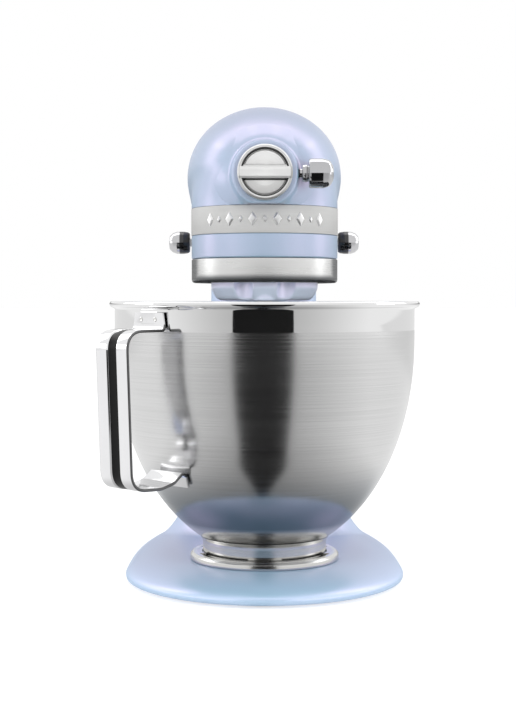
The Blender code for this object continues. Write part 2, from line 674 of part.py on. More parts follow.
def make_control_board():
    at = (0, 206.0, MOTOR_Z)
    board = solid("control_board", block((-24, 0, -20), (24, 1.8, 16)), at, "board")
    return join(board, block((-14, 1.0, -10), (-2, 9.0, 6)), block((4, 1.0, -4), (16, 6.0, 8)), at=at)


# ---- gear train ----


def make_planetary():
    """Carrier: a flange in the drip ring, a rounded body below it and a boss round the beater's shaft."""
    low = 201.5
    profile = [(0, low), (31.5, low), (35.8, low + 2.4), (38.0, low + 7.0), (38.2, 214.0)]
    profile += [(41.0, 217.5), (45.6, 219.0), (45.6, 233.0), (0, 233.0)]
    carrier = solid("planetary_housing", turned(profile), slot="paint")
    cut(carrier, *[moved(rod(7.0, 190, 215.5, 20), side * 15.6, -ORBIT - 8.6) for side in (-1, 1)])
    join(carrier, moved(rod(9.2, low - 0.3, 222.0, 24), 0, -ORBIT))
    cut(carrier, rod(SHAFT_R + GAP, 190, 240), moved(rod(BEATER_SHAFT_R + GAP, 190, 240), 0, -ORBIT))
    return carrier


def make_centre_shaft():
    return solid("centre_shaft", rod(SHAFT_R, 204.0, 274.6), slot="steel")


def make_centre_gear():
    toward_wheel = atan2(WHEEL_Y, WHEEL_X)
    outline = gear_outline(CENTRE_TEETH, CENTRE_MODULE, toward_wheel)
    gear = solid("centre_gear", prism(outline, CENTRE_LOW, CENTRE_HIGH), slot="steel")
    return cut(gear, rod(SHAFT_R + GAP, 250, 290))


def make_crown_gear():
    """Bevel ring whose teeth point up and taper to the point where its axis meets the hub's."""
    tip, root = -1 / 3 + 1.5 / CROWN_TEETH, -1 / 3 - 2.2 / CROWN_TEETH
    low = CENTRE_HIGH + GAP
    bottom_in, bottom_out, top_in, top_out = [], [], [], []
    step = tau / CROWN_TEETH
    for tooth in range(CROWN_TEETH):
        for shift, slope in ((-0.27, root), (-0.10, tip), (0.10, tip), (0.27, root)):
            angle = FRONT + (tooth + shift) * step
            x, y = cos(angle), sin(angle)
            bottom_in.append((CROWN_IN * x, CROWN_IN * y, low))
            bottom_out.append((CROWN_OUT * x, CROWN_OUT * y, low))
            top_in.append((CROWN_IN * x, CROWN_IN * y, HUB_Z + CROWN_IN * slope))
            top_out.append((CROWN_OUT * x, CROWN_OUT * y, HUB_Z + CROWN_OUT * slope))
    teeth = loft([bottom_in, bottom_out, top_out, top_in], closed=True)
    return solid("bevel_ring_gear", teeth, slot="steel")


def make_hub_pinion():
    """Bevel pinion; a gap faces down, where the ring gear's tooth sits."""
    loops = []
    for reach in (CROWN_IN, CROWN_OUT):
        module = 2 * reach / CROWN_TEETH
        phase = FRONT + pi / HUB_TEETH
        loops.append([(x, -reach, y) for x, y in gear_outline(HUB_TEETH, module, phase)])
    pinion = solid("hub_bevel_pinion", loft(loops), (0, 0, HUB_Z), "steel")
    return cut(pinion, facing(rod(3.8, 10, 40, 12), (0, -1, 0)), at=(0, 0, HUB_Z))


def make_hub_shaft():
    profile = [(0, 18.5), (3.5, 18.5), (3.5, 28.5), (5.3, 28.5), (5.3, 46.0)]
    profile += [(8.5, 46.0), (8.5, 50.0), (0, 50.0)]
    shaft = solid("hub_drive_shaft", facing(turned(profile, 16), (0, -1, 0)), (0, 0, HUB_Z), "steel")
    return cut(shaft, block((-3.2, -55, -3.2), (3.2, -42, 3.2)), at=(0, 0, HUB_Z))


def make_worm_wheel():
    """Teeth slanted to follow the worm's thread."""
    slant = WORM_STARTS * WORM_MODULE / 2 / WORM_R * 2 / (WORM_MODULE * WORM_TEETH)
    loops = []
    for z in (-5.5, 0.0, 5.5):
        outline = gear_outline(WORM_TEETH, WORM_MODULE, pi + slant * z, narrow=0.02)
        loops.append([(x, y, z) for x, y in outline])
    wheel = solid("worm_wheel", loft(loops), (WHEEL_X, WHEEL_Y, MOTOR_Z), "bronze")
    return cut(wheel, rod(4.3, -20, 20, 12), at=(WHEEL_X, WHEEL_Y, MOTOR_Z))


def make_wheel_pinion():
    """Small gear on the worm wheel's spindle; a gap faces the centre gear."""
    away = atan2(-WHEEL_Y, -WHEEL_X) + pi / WHEEL_PINION_TEETH
    at = (WHEEL_X, WHEEL_Y, 0)
    outline = gear_outline(WHEEL_PINION_TEETH, CENTRE_MODULE, away)
    pinion = solid("wheel_pinion", prism(outline, CENTRE_LOW, CENTRE_HIGH), at, "steel")
    return join(pinion, rod(4.0, 254.5, MOTOR_Z + 9.0, 12), at=at)


def make_worm():
    """Two-start right-hand thread as waves on a cylinder, with a gap facing the wheel's middle."""
    start, end, around = WHEEL_Y - 13.0, WHEEL_Y + 15.0, 14
    lead = pi * WORM_MODULE * WORM_STARTS
    stations = 28
    loops = []
    for i in range(stations + 1):
        y = start + (end - start) * i / stations
        loop = []
        for k in range(around):
            angle = tau * k / around
            turns = (y - WHEEL_Y) / lead - (angle - pi / 2) / tau
            wave = cos(tau * WORM_STARTS * turns + pi)
            radius = WORM_R - 0.25 * WORM_MODULE + WORM_MODULE * 0.85 * min(max(1.6 * wave - 0.9, -1.0), 0.6)
            loop.append((radius * sin(angle), y, radius * cos(angle)))
        loops.append(loop)
    worm = solid("worm", loft(loops), (0, 0, MOTOR_Z), "steel")
    return cut(worm, facing(rod(4.3, -20, 80, 12), (0, 1, 0)), at=(0, 0, MOTOR_Z))


def make_armature():
    at = (0, 0, MOTOR_Z)
    shaft = solid("armature_shaft", facing(rod(4.0, WHEEL_Y - 14.0, 196.0), (0, 1, 0)), at, "steel")
    core = solid("rotor_core", facing(tube(20.5, 4.3, MOTOR_FRONT, MOTOR_BACK, 24), (0, 1, 0)), at, "steel")
    ring = facing(tube(COMMUTATOR_R, 4.3, 152.0, 168.0, 20), (0, 1, 0))
    commutator = solid("commutator", ring, at, "copper")
    return [shaft, core, commutator, make_fan(at)]


def make_fan(at):
    fan = solid("cooling_fan", facing(tube(9.0, 4.3, 74.0, 84.0, 20), (0, 1, 0)), at, "plastic")
    blades = block((-30, 78.0, -1.0), (30, 80.0, 1.0))
    for turn in range(3):
        blade = blades.copy()
        turned_by = Matrix.Rotation(turn * pi / 3, 3, "Y")
        bmesh.ops.rotate(blade, cent=(0, 0, 0), matrix=turned_by, verts=blade.verts)
        join(fan, blade, at=at)
    return cut(fan, facing(rod(4.3, 60, 100, 20), (0, 1, 0)), at=at)


# ---- beater ----


def make_beater():
    """Flat beater: a leaf-shaped frame with a spine and two slanted bars, thin from front to back."""
    count = 28
    outer, inner = [], []
    for i in range(count):
        angle = tau * i / count
        x, z = power(cos(angle), 0.9), power(sin(angle), 0.85)
        taper = 1 - 0.18 * max(-z, 0.0)
        for line, inset in ((outer, 0.0), (inner, BEATER_BAR)):
            line.append(((BEATER_HALF - inset) * x * taper, BEATER_MIDDLE + (BEATER_RISE - inset) * z))
    frame = loft(
        [
            [(x, -4.0, z) for x, z in outer],
            [(x, 4.0, z) for x, z in outer],
            [(x, 3.0, z) for x, z in inner],
            [(x, -3.0, z) for x, z in inner],
        ],
        closed=True,
    )
    at = (0, -ORBIT, 0)
    beater = solid("flat_beater", frame, at, "aluminium")
    join(beater, block((-4, -3, 50), (4, 3, 168)), at=at)
    bars = []
    for side in (-1, 1):
        bar = block((-3.5, -2.8, -34), (3.5, 2.8, 34))
        slant = Matrix.Rotation(side * radians(48), 3, "Y")
        bmesh.ops.rotate(bar, cent=(0, 0, 0), matrix=slant, verts=bar.verts)
        bars.append(moved(bar, side * 28, 0, 104))
    join(beater, *bars, at=at)
    join(beater, rod(10.0, 163.0, 198.0, 20), at=at)
    return cut(beater, rod(BEATER_SHAFT_R + GAP, 174.0, 205.0), at=at)


def make_beater_shaft():
    profile = [(0, 175.0), (BEATER_SHAFT_R, 175.0), (BEATER_SHAFT_R, 235.5)]
    profile += [(4.2, 235.5), (4.2, 248.5), (0, 248.5)]
    return solid("beater_shaft", turned(profile, SMALL_ROUND), (0, -ORBIT, 0), "steel")


def make_planet():
    at = (0, -ORBIT, 0)
    outline = gear_outline(PLANET_TEETH, RING_MODULE, FRONT)
    pinion = solid("planet_pinion", prism(outline, 236.0, 246.5), at, "steel")
    return cut(pinion, rod(4.5, 230, 250, 12), at=at)


# ---- controls ----


def knob(name, side, at):
    """Chrome knob along X: a narrow neck, a round barrel and a domed end."""
    dome = [(7.7 * cos(a), 11.4 + 3.8 * sin(a)) for a in (pi / 8, pi / 4, 3 * pi / 8)]
    profile = [(0, 0), (4.4, 0), (4.4, 1.0), (8.0, 1.8), (8.8, 3.6), (8.8, 8.8)]
    profile += [(8.3, 11.0), *dome, (0, 15.2)]
    return solid(name, facing(turned(profile, 16), (side, 0, 0)), at, "chrome")


def make_speed_lever():
    """Plate from the pivot inside the case to the knob, swung about the pivot's upright axis."""
    at = (SPEED_PIVOT_X, SPEED_PIVOT_Y, LEVER_Z)
    reach = KNOB_START - GAP - SPEED_PIVOT_X
    drop = SPEED_PIVOT_Y - LEVER_Y
    bend = 40.0 - SPEED_PIVOT_X
    path = [(0.0, 5.0), (bend, -drop + 3.2), (reach, -drop + 3.2)]
    path += [(reach, -drop - 3.2), (bend, -drop - 3.2), (0.0, -5.0), (-4.0, 0.0)]
    lever = solid("speed_lever", prism([(x, y) for x, y in reversed(path)], -1.5, 1.0), at, "steel")
    return cut(lever, rod(2.5, -5, 5, 12), at=at)


def make_lock_lever():
    """Side plate behind the knob, a cross plate and a post with a hook that reaches into the column."""
    post_back = POST_Y + 4.0
    lever = solid("lock_lever", block((-50.5, LEVER_Y - 4, 236.5), (-47.5, post_back, 250.0)), slot="steel")
    join(lever, block((-50, POST_Y - 1.0, 236.6), (POST_X + 3, post_back - 0.1, 239.5)))
    join(lever, block((POST_X - 3, POST_Y, 214.5), (POST_X + 3, post_back - 0.2, 239.0)))
    join(lever, block((POST_X - 3, POST_Y + 0.1, 214.4), (POST_X + 3, POST_Y + 9.5, 218.5)))
    return join(lever, block((-KNOB_START + GAP, LEVER_Y - 3, LEVER_Z - 3), (-48, LEVER_Y + 3, LEVER_Z + 3)))


def make_hub_cover():
    """Cap on the hub: a shank in the bore, a rim, a sunk disc and a bar across it."""
    front = 10.0
    profile = [(0, -13.5), (HUB_BORE_R - 0.4, -13.5), (HUB_BORE_R - 0.4, GAP), (16.0, GAP)]
    profile += [(18.4, 1.2), (18.6, 6.5), (17.8, 8.2), (16.0, 8.4), (15.4, 6.0), (0, 6.0)]
    at = (0, HUB_FRONT_Y, HUB_Z)
    cover = solid("hub_cover", facing(turned(profile, 32), (0, -1, 0)), at, "satin_metal")
    return join(cover, block((-17.3, -front, -4.8), (17.3, -5.0, 4.8)), at=at)


def make_attachment_knob():
    at = (0, KNOB_Y, HUB_Z)
    dome = [(9.6 * cos(a), 40.0 + 6.3 * sin(a)) for a in (pi / 8, pi / 4, 3 * pi / 8)]
    profile = [(0, HUB_BORE_R + 0.3), (3.2, HUB_BORE_R + 0.3), (3.2, 25.0), (5.6, 25.4)]
    profile += [(6.1, 28.0), (5.6, 29.6), (9.2, 29.8), (10.0, 30.8), (10.0, 38.5), (9.7, 40.0)]
    profile += [*dome, (0, 46.3)]
    return solid("attachment_knob", facing(turned(profile, 16), (1, 0, 0)), at, "chrome")


# ---- bowl ----


def bowl_radius(z):
    """Outer radius of the bowl's wall."""
    return BOWL_R * sqrt(1 - (max(BOWL_ROUND_Z - z, 0.0) / BOWL_DEPTH) ** BOWL_POWER)


def make_bowl():
    outer = [(bowl_radius(z), z) for z in (FOOT_Z, 41, 53, 70, 92, 118, 146, BOWL_ROUND_Z)]
    inner = []
    for radius, z in reversed(outer):
        inner.append((radius - BOWL_WALL * (1 + 0.6 * (BOWL_ROUND_Z - z) / BOWL_DEPTH), z + BOWL_WALL * 0.5))
    turns = (pi / 5, pi / 2, 4 * pi / 5)
    bead = [(RIM_R - RIM_BEAD + RIM_BEAD * sin(a), RIM_Z - RIM_BEAD * cos(a)) for a in turns]
    profile = [(0, FOOT_Z + 0.5), (30.0, FOOT_Z - 1.0), *outer, (BOWL_R, BOWL_TOP - 0.8), *bead]
    profile += [(BOWL_R - BOWL_WALL + 0.4, 199.5), (BOWL_R - BOWL_WALL, 197.5), *inner]
    profile += [(30.0, FOOT_Z + 1.2), (0, FOOT_Z + 2.6)]
    return solid("bowl_shell", turned(profile, 40), slot="bowl_steel")


def make_foot_ring():
    outer = [(46.6, FOOT_Z - 0.4), (45.0, 30.0), (44.4, 26.0), (44.2, 20.8), (43.4, 19.6), (43.4, 17.7)]
    inner = [(radius - 2.2, height) for radius, height in reversed(outer)]
    ring = solid("bowl_foot_ring", turned(outer + inner), slot="polished_steel")
    lug = sector(42.5, 47.2, 17.75, 19.2, radians(22), 3)
    return join(ring, *[spun(lug.copy(), quarter * pi / 2) for quarter in range(4)])


def strap_path():
    """Centre line of the handle's strap, as (distance from the bowl's axis, height)."""
    outer, top, low, bend = 141.0, 181.5, 78.0, 12.0
    path = [(108.9, 193.5), (108.9, 184.5), (111.0, 182.0)]
    turns = [pi / 6 * i for i in range(4)]
    path += [(outer - bend + bend * sin(a), top - bend * (1 - cos(a))) for a in turns]
    path += [(outer - 4 - bend + bend * cos(a), low + bend * (1 - sin(a))) for a in turns]
    path += [(112.0, 77.3), (101.0, 80.3), (93.4, 85.1), (90.05, 83.7), (86.25, 76.0)]
    return path


def make_handle():
    path = [Vector(point) for point in strap_path()]
    sides = [[], []]
    for i, point in enumerate(path):
        along = (path[min(i + 1, len(path) - 1)] - path[max(i - 1, 0)]).normalized()
        normal = Vector((along.y, -along.x)) * STRAP / 2
        sides[0].append(point + normal)
        sides[1].append(point - normal)
    outline = sides[0] + sides[1][::-1]
    shape = loft([[(p.x, t, p.y) for p in outline] for t in (-HANDLE_HALF, HANDLE_HALF)])
    return solid("bowl_handle", spun(shape, HANDLE_ANGLE), slot="chrome")


def main():
    clear_scene()
    pedestal = [make_base(), make_column(), *make_feet(), make_clamp_plate(), *make_clamp_screws()]
    pedestal += [*make_column_bolts(), make_hinge_pin()]
    body("pedestal", (0, COLUMN_Y, 0), pedestal)
    head = [make_motor_housing(), make_gearcase(), make_end_cover(), make_end_cover_screw()]
    head += [make_cord_gland(), make_trim_band(), make_drip_ring(), make_ring_gear(), make_bush()]
    head += [make_hub_bearing(), make_stator(), make_motor_bearing("motor_front_bearing", 62.0)]
    head += [make_motor_bearing("motor_rear_bearing", 182.0), *make_brushes(), make_control_board()]
    head_axis = body("head", (0, HINGE_Y, HINGE_Z), head)
    planetary = [make_planetary(), make_centre_shaft(), make_centre_gear(), make_crown_gear()]
    bodies = {
        "planetary": ((0, 0, HEAD_BOTTOM), planetary),
        "beater": ((0, -ORBIT, HEAD_BOTTOM), [make_beater_shaft(), make_planet(), make_beater()]),
        "wheel": ((WHEEL_X, WHEEL_Y, MOTOR_Z), [make_worm_wheel(), make_wheel_pinion()]),
        "hub_drive": ((0, 0, HUB_Z), [make_hub_pinion(), make_hub_shaft()]),
        "motor": ((0, 0, MOTOR_Z), [make_worm(), *make_armature()]),
        "speed_control": (
            (SPEED_PIVOT_X, SPEED_PIVOT_Y, LEVER_Z),
            [make_speed_lever(), knob("speed_knob", 1, (KNOB_START, LEVER_Y, LEVER_Z))],
        ),
        "head_lock": (
            (-KNOB_START, LEVER_Y, LEVER_Z),
            [make_lock_lever(), knob("lock_knob", -1, (-KNOB_START, LEVER_Y, LEVER_Z))],
        ),
        "cover": ((0, HUB_FRONT_Y, HUB_Z), [make_hub_cover()]),
        "thumbscrew": ((0, KNOB_Y, HUB_Z), [make_attachment_knob()]),
    }
    for name, (at, pieces) in bodies.items():
        axis = body(f"{name}_axis", at, pieces)
        axis.parent = head_axis
        axis.matrix_parent_inverse = Matrix.Translation(-head_axis.location)
    body("bowl", (0, 0, 0), [make_bowl(), make_foot_ring(), make_handle()])


main()
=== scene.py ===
"""Tilt-head stand mixer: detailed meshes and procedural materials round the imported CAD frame.

Lengths in the shape code are millimetres with Y counted from the bowl's axis, as in the CAD source;
place() turns them into metres in the frame. Node materials use object coordinates, which are metres.
"""

from math import asin, atan2, copysign, cos, hypot, pi, radians, sin, sqrt, tau

import bmesh
import bpy
from mathutils import Matrix, Vector

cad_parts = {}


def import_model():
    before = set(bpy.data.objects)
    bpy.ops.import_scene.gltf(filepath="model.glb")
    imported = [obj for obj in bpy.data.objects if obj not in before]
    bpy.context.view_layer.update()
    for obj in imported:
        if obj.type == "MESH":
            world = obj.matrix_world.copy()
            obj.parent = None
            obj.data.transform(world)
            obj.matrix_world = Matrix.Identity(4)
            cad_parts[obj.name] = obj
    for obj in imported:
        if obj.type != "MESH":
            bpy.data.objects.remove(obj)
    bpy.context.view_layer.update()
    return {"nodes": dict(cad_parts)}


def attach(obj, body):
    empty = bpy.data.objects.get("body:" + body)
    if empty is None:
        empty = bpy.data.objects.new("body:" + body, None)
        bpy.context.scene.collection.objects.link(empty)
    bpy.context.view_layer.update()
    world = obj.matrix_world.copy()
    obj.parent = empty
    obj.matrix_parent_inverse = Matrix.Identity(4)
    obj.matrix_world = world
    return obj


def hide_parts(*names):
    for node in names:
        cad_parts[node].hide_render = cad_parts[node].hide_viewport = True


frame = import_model()

MM = 0.001
BOWL_Y = -67.0
GAP = 0.3

# Head
HEAD_TOP, HEAD_BOTTOM, HEAD_MID_Y = 350.0, 231.0, 120.0
DOME_Z, DOME_R = 293.0, 59.0
NOSE_LENGTH, TAIL_LENGTH, TAIL_TUCK, TAIL_Z = 176.0, 126.0, 26.0, 287.0
FRONT_R, WAIST_HALF = 52.3, 56.6
BAND_LOW, BAND_TOP, BAND_DEPTH = 247.5, 267.0, 1.5
CASE_SPLIT, COVER_SPLIT_Y, FLOOR = 257.0, 200.0, 4.0
HUB_Z, HUB_FRONT_Y, HUB_R, HUB_BORE_R, HUB_ROUND = 287.0, -66.0, 22.6, 12.4, 4.0
KNOB_Y, KNOB_START = -61.0, 59.5
ORBIT, BEATER_SHAFT_R, SHAFT_R, BUSH_R, RING_SEAT_R = 27.0, 5.2, 5.0, 8.0, 48.3
MOTOR_Z, BRUSH_Y, BRUSH_CAP_R = 292.0, 160.0, 8.0
LEVER_Y, LEVER_Z, LOCK_TRAVEL = 100.0, 247.0, 10.0
SPEED_PIVOT_X = -38.0
SPEED_PIVOT_Y = LEVER_Y + (73.0 - SPEED_PIVOT_X) * sin(radians(8))
POST_X, POST_Y = -18.0, 132.0

# Column and base
COLUMN_Y, COLUMN_HALF_X, COLUMN_HALF_Y, COLUMN_POWER = 161.0, 43.5, 43.0, 3.2
BASE_HALF, BASE_FRONT, BASE_REAR, BASE_REAR_POWER = 100.0, 105.0, 222.0, 2.6
BASE_BOTTOM, EDGE_TOP, PLATEAU, PILLOW = 2.5, 6.0, 15.5, 55.0
FLARE_RISE, FLARE_POWER, FLARE_FRONT, FLARE_SIDE, FLARE_SHARE = 134.0, 0.615, 34.0, 46.0, 0.86
SEAM, DECK_UNDER, COLUMN_TOP, COLUMN_WALL = 45.0, 38.0, 230.4, 5.0
HINGE_Y, HINGE_Z, KNUCKLE_R, LUG_HALF = 190.0, 216.4, 14.0, 14.0
PIN_R, PIN_PLAY = 4.0, 0.25
FEET = [(0.0, -82.0), (-76.0, -8.0), (76.0, -8.0), (-50.0, 168.0), (50.0, 168.0)]

# Bowl
BOWL_R, BOWL_TOP, BOWL_ROUND_Z, BOWL_DEPTH, BOWL_POWER = 107.5, 196.6, 175.0, 157.0, 2.1
BOWL_WALL, FOOT_Z, RIM_R, RIM_BEAD, RIM_Z = 1.2, 33.0, 111.0, 2.2, 198.9
PLATE_R, PLATE_LOW, PLATE_TOP, PLATE_FLOOR = 53.8, 15.8, 20.9, 17.3
HANDLE_ANGLE, HANDLE_HALF, STRAP = radians(-135), 16.0, 2.0


def place(point):
    return Vector((point[0], point[1] + BOWL_Y, point[2])) * MM


# ---- shapes: lists of points in millimetres, and faces ----


def loft(loops, closed=False, caps=True):
    """Skins loops of equally many points, with flat caps or, if closed, back to the first."""
    count = len(loops[0])
    points = [p for loop in loops for p in loop]
    starts = [i * count for i in range(len(loops))]
    pairs = list(zip(starts, starts[1:] + starts[:1])) if closed else list(zip(starts, starts[1:]))
    faces = []
    for low, high in pairs:
        for i in range(count):
            j = (i + 1) % count
            faces.append((low + i, low + j, high + j, high + i))
    if caps and not closed:
        faces += [tuple(reversed(range(count))), tuple(range(starts[-1], starts[-1] + count))]
    return points, faces


def fillet(corners, closed=False, steps=6):
    """A 2-D line through (a, b, radius) corners, each rounded off with an arc of that radius."""
    line = []
    count = len(corners)
    for i, (a, b, radius) in enumerate(corners):
        here = Vector((a, b))
        if radius <= 0 or (not closed and i in (0, count - 1)):
            line.append((a, b))
            continue
        before = Vector(corners[i - 1][:2]) - here
        after = Vector(corners[(i + 1) % count][:2]) - here
        half = before.angle(after) / 2
        reach = radius / max(sin(half) / cos(half), 1e-6)
        reach = min(reach, before.length * 0.49, after.length * 0.49)
        start, end = here + before.normalized() * reach, here + after.normalized() * reach
        for k in range(steps + 1):
            t = k / steps
            line.append(tuple((1 - t) ** 2 * start + 2 * t * (1 - t) * here + t**2 * end))
    return line


def turned(line, sides=128):
    """Spins a 2-D line of (radius, height) about Z; it is a ring unless its ends are on the axis."""
    ring = line[0][0] > 1e-6 and line[-1][0] > 1e-6
    body = [p for p in line if p[0] > 1e-6]
    around = [(cos(tau * k / sides), sin(tau * k / sides)) for k in range(sides)]
    loops = [[(r * x, r * y, z) for x, y in around] for r, z in body]
    points, faces = loft(loops, closed=ring, caps=False)
    if not ring:
        for end, height, flip in ((0, line[0][1], True), (len(body) - 1, line[-1][1], False)):
            centre, start = len(points), end * sides
            points.append((0.0, 0.0, height))
            for k in range(sides):
                pair = (start + k, start + (k + 1) % sides)
                faces.append((pair[1], pair[0], centre) if flip else (pair[0], pair[1], centre))
    return points, faces


def hoop(corners, sides, steps=6):
    """A ring about Z whose section has these rounded corners."""
    line = fillet(corners, closed=True, steps=steps)
    return turned(line + line[:1], sides)


def block(low, high):
    x, y, z = zip(low, high)
    lower = [(x[0], y[0], z[0]), (x[1], y[0], z[0]), (x[1], y[1], z[0]), (x[0], y[1], z[0])]
    return loft([lower, [(a, b, z[1]) for a, b, _ in lower]])


def rod(radius, low, high, sides=64):
    return turned([(0, low), (radius, low), (radius, high), (0, high)], sides)


def prism(outline, low, high):
    return loft([[(x, y, z) for x, y in outline] for z in (low, high)])


def sector(inner, outer, low, high, sweep, steps=24):
    """Part of a ring, centred on the front."""
    angles = [sweep * (i / steps - 0.5) for i in range(steps + 1)]
    outline = [(outer * sin(a), -outer * cos(a)) for a in angles]
    outline += [(inner * sin(a), -inner * cos(a)) for a in reversed(angles)]
    return prism(outline, low, high)


def mapped(shape, matrix):
    return [tuple(matrix @ Vector(p)) for p in shape[0]], shape[1]


def moved(shape, x=0.0, y=0.0, z=0.0):
    return mapped(shape, Matrix.Translation((x, y, z)))


def spun(shape, angle, axis="Z"):
    return mapped(shape, Matrix.Rotation(angle, 4, axis))


def facing(shape, direction):
    """Turns a shape made along Z so that it lies along the given direction."""
    return mapped(shape, Vector((0, 0, 1)).rotation_difference(Vector(direction)).to_matrix().to_4x4())


def crossways(radius, low, high, y, z, sides=64):
    """A rod along X."""
    return moved(facing(rod(radius, low, high, sides), (1, 0, 0)), 0, y, z)


def together(shapes):
    points, faces = [], []
    for more_points, more_faces in shapes:
        faces += [tuple(i + len(points) for i in face) for face in more_faces]
        points += more_points
    return points, faces


# ---- objects ----


def solid(name, shape):
    mesh = bpy.data.meshes.new(name)
    mesh.from_pydata([place(p) for p in shape[0]], [], shape[1])
    made = bpy.data.objects.new(name, mesh)
    bpy.context.scene.collection.objects.link(made)
    repair(mesh)
    return made


def repair(mesh):
    shape = bmesh.new()
    shape.from_mesh(mesh)
    bmesh.ops.remove_doubles(shape, verts=shape.verts, dist=2e-6)
    bmesh.ops.recalc_face_normals(shape, faces=shape.faces)
    shape.to_mesh(mesh)
    shape.free()


def shift(made, x, y, z):
    made.data.transform(Matrix.Translation(Vector((x, y, z)) * MM))


def apply_modifiers(made):
    """Replaces the object's mesh by what its modifiers make of it."""
    graph = bpy.context.evaluated_depsgraph_get()
    mesh = bpy.data.meshes.new_from_object(made.evaluated_get(graph))
    old = made.data
    made.modifiers.clear()
    made.data = mesh
    bpy.data.meshes.remove(old)
    return made


def combine(made, operation, shapes):
    tool = solid("tool", together(shapes))
    change = made.modifiers.new("change", "BOOLEAN")
    change.operation, change.object, change.solver = operation, tool, "EXACT"
    apply_modifiers(made)
    repair(made.data)
    bpy.data.objects.remove(tool)
    return made


def cut(made, *shapes):
    return combine(made, "DIFFERENCE", shapes)


def join(made, *shapes):
    return combine(made, "UNION", shapes)


def melted(made, size, rounds):
    """Remeshes the object finely and softens its edges, as a casting's are."""
    remesh = made.modifiers.new("remesh", "REMESH")
    remesh.mode, remesh.voxel_size = "VOXEL", size * MM
    smooth = made.modifiers.new("smooth", "SMOOTH")
    smooth.factor, smooth.iterations = 0.5, rounds
    return apply_modifiers(made)


def dress(made, body, material, nodes=(), sharp=40):
    """Gives a piece its shading, material and body, and hides the CAD nodes it stands for."""
    made.data.materials.clear()
    made.data.materials.append(material)
    made.data.shade_smooth()
    made.data.set_sharp_from_angle(angle=radians(sharp))
    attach(made, body)
    if nodes:
        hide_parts(*nodes)
    return made


# ---- outlines shared with the CAD ----


def power(value, exponent):
    return copysign(abs(value) ** exponent, value)


def smoothstep(value):
    value = min(max(value, 0.0), 1.0)
    return value * value * (3 - 2 * value)


def bisect(low, high, below):
    for _ in range(36):
        middle = (low + high) / 2
        low, high = (middle, high) if below(middle) else (low, middle)
    return (low + high) / 2


def offset(outline, distance):
    """The outline moved outwards by distance; it runs anticlockwise."""
    found = []
    count = len(outline)
    for i, (x, y) in enumerate(outline):
        before, after = outline[i - 1], outline[(i + 1) % count]
        along = Vector((after[0] - before[0], after[1] - before[1])).normalized()
        found.append((x + along.y * distance, y - along.x * distance))
    return found


def head_point(angle, z):
    """A point of the head's horizontal section; angle 0 is the front, pi the rear."""
    rise = max(z - DOME_Z, 0.0) / (HEAD_TOP - DOME_Z)
    half = DOME_R * sqrt(max(1 - rise**2, 0.0))
    nose = NOSE_LENGTH * max(1 - rise**2.2, 0.0) ** (1 / 2.2)
    if z > TAIL_Z:
        tail = TAIL_LENGTH * max(1 - ((z - TAIL_Z) / (HEAD_TOP - TAIL_Z)) ** 2.6, 0.0) ** (1 / 2.6)
    else:
        tail = TAIL_LENGTH - TAIL_TUCK * ((TAIL_Z - z) / (TAIL_Z - HEAD_BOTTOM)) ** 2
    exponent = 2 / (2 + (half / DOME_R) ** 2)
    wide, deep = abs(sin(angle)) ** exponent, power(cos(angle), exponent)
    dome_x = half * wide
    if deep < 0:
        dome_y = waist_y = HEAD_MID_Y - tail * deep
        waist_x = WAIST_HALF * wide
    else:
        dome_y = HEAD_MID_Y - nose * deep
        waist_y = HEAD_MID_Y - (HEAD_MID_Y + FRONT_R) * deep
        if waist_y < 0:
            waist_x = sqrt(max(FRONT_R**2 - waist_y**2, 0.0))
        else:
            waist_x = FRONT_R + (WAIST_HALF - FRONT_R) * smoothstep(waist_y / HEAD_MID_Y)
    blend = smoothstep((z - BAND_TOP) / (DOME_Z - BAND_TOP))
    return waist_x + (dome_x - waist_x) * blend, waist_y + (dome_y - waist_y) * blend


FRONT_STEPS, REAR_STEPS = 88, 44
HALF_ANGLES = [asin((i / FRONT_STEPS) ** 1.5) for i in range(FRONT_STEPS)]
HALF_ANGLES += [pi / 2 + pi / 2 * i / REAR_STEPS for i in range(REAR_STEPS + 1)]


def head_outline(z):
    """The whole section at height z, anticlockwise from the front."""
    half = [head_point(angle, z) for angle in HALF_ANGLES]
    return half + [(-x, y) for x, y in reversed(half[1:-1])]


def at_height(outline, z):
    return [(x, y, z) for x, y in outline]


def column_radius(angle):
    wide, deep = abs(sin(angle)) / COLUMN_HALF_X, abs(cos(angle)) / COLUMN_HALF_Y
    return (wide**COLUMN_POWER + deep**COLUMN_POWER) ** (-1 / COLUMN_POWER)


def base_radius(angle):
    def inside(radius):
        x, y = radius * sin(angle), COLUMN_Y - radius * cos(angle)
        if y < 0:
            return (x / BASE_HALF) ** 2 + (y / BASE_FRONT) ** 2 < 1
        return abs(x / BASE_HALF) ** BASE_REAR_POWER + (y / BASE_REAR) ** BASE_REAR_POWER < 1

    return bisect(0.0, 400.0, inside)


def skin_height(angle, radius, inner=None, edge=None):
    """Height of the base's upper skin: a rounded edge, a plateau and a flare up to the column."""
    inner, edge = inner or column_radius(angle), edge or base_radius(angle)
    span = edge - inner
    inset = min(max(edge - radius, 0.0) / min(PILLOW, span), 1.0)
    pillow = EDGE_TOP + (PLATEAU - EDGE_TOP) * sqrt(1 - (1 - inset) ** 2)
    side = FLARE_FRONT + (FLARE_SIDE - FLARE_FRONT) * abs(sin(angle)) if cos(angle) > 0 else FLARE_SIDE
    reach = min(FLARE_SHARE * span, side)
    out = min(max(radius - inner, 0.0) / reach, 1.0)
    return pillow + FLARE_RISE * (1 - out**FLARE_POWER) ** (1 / FLARE_POWER)


def skin_radius(angle, z):
    if z >= PLATEAU + FLARE_RISE:
        return column_radius(angle)
    inner, edge = column_radius(angle), base_radius(angle)
    return bisect(inner, edge, lambda radius: skin_height(angle, radius, inner, edge) > z)


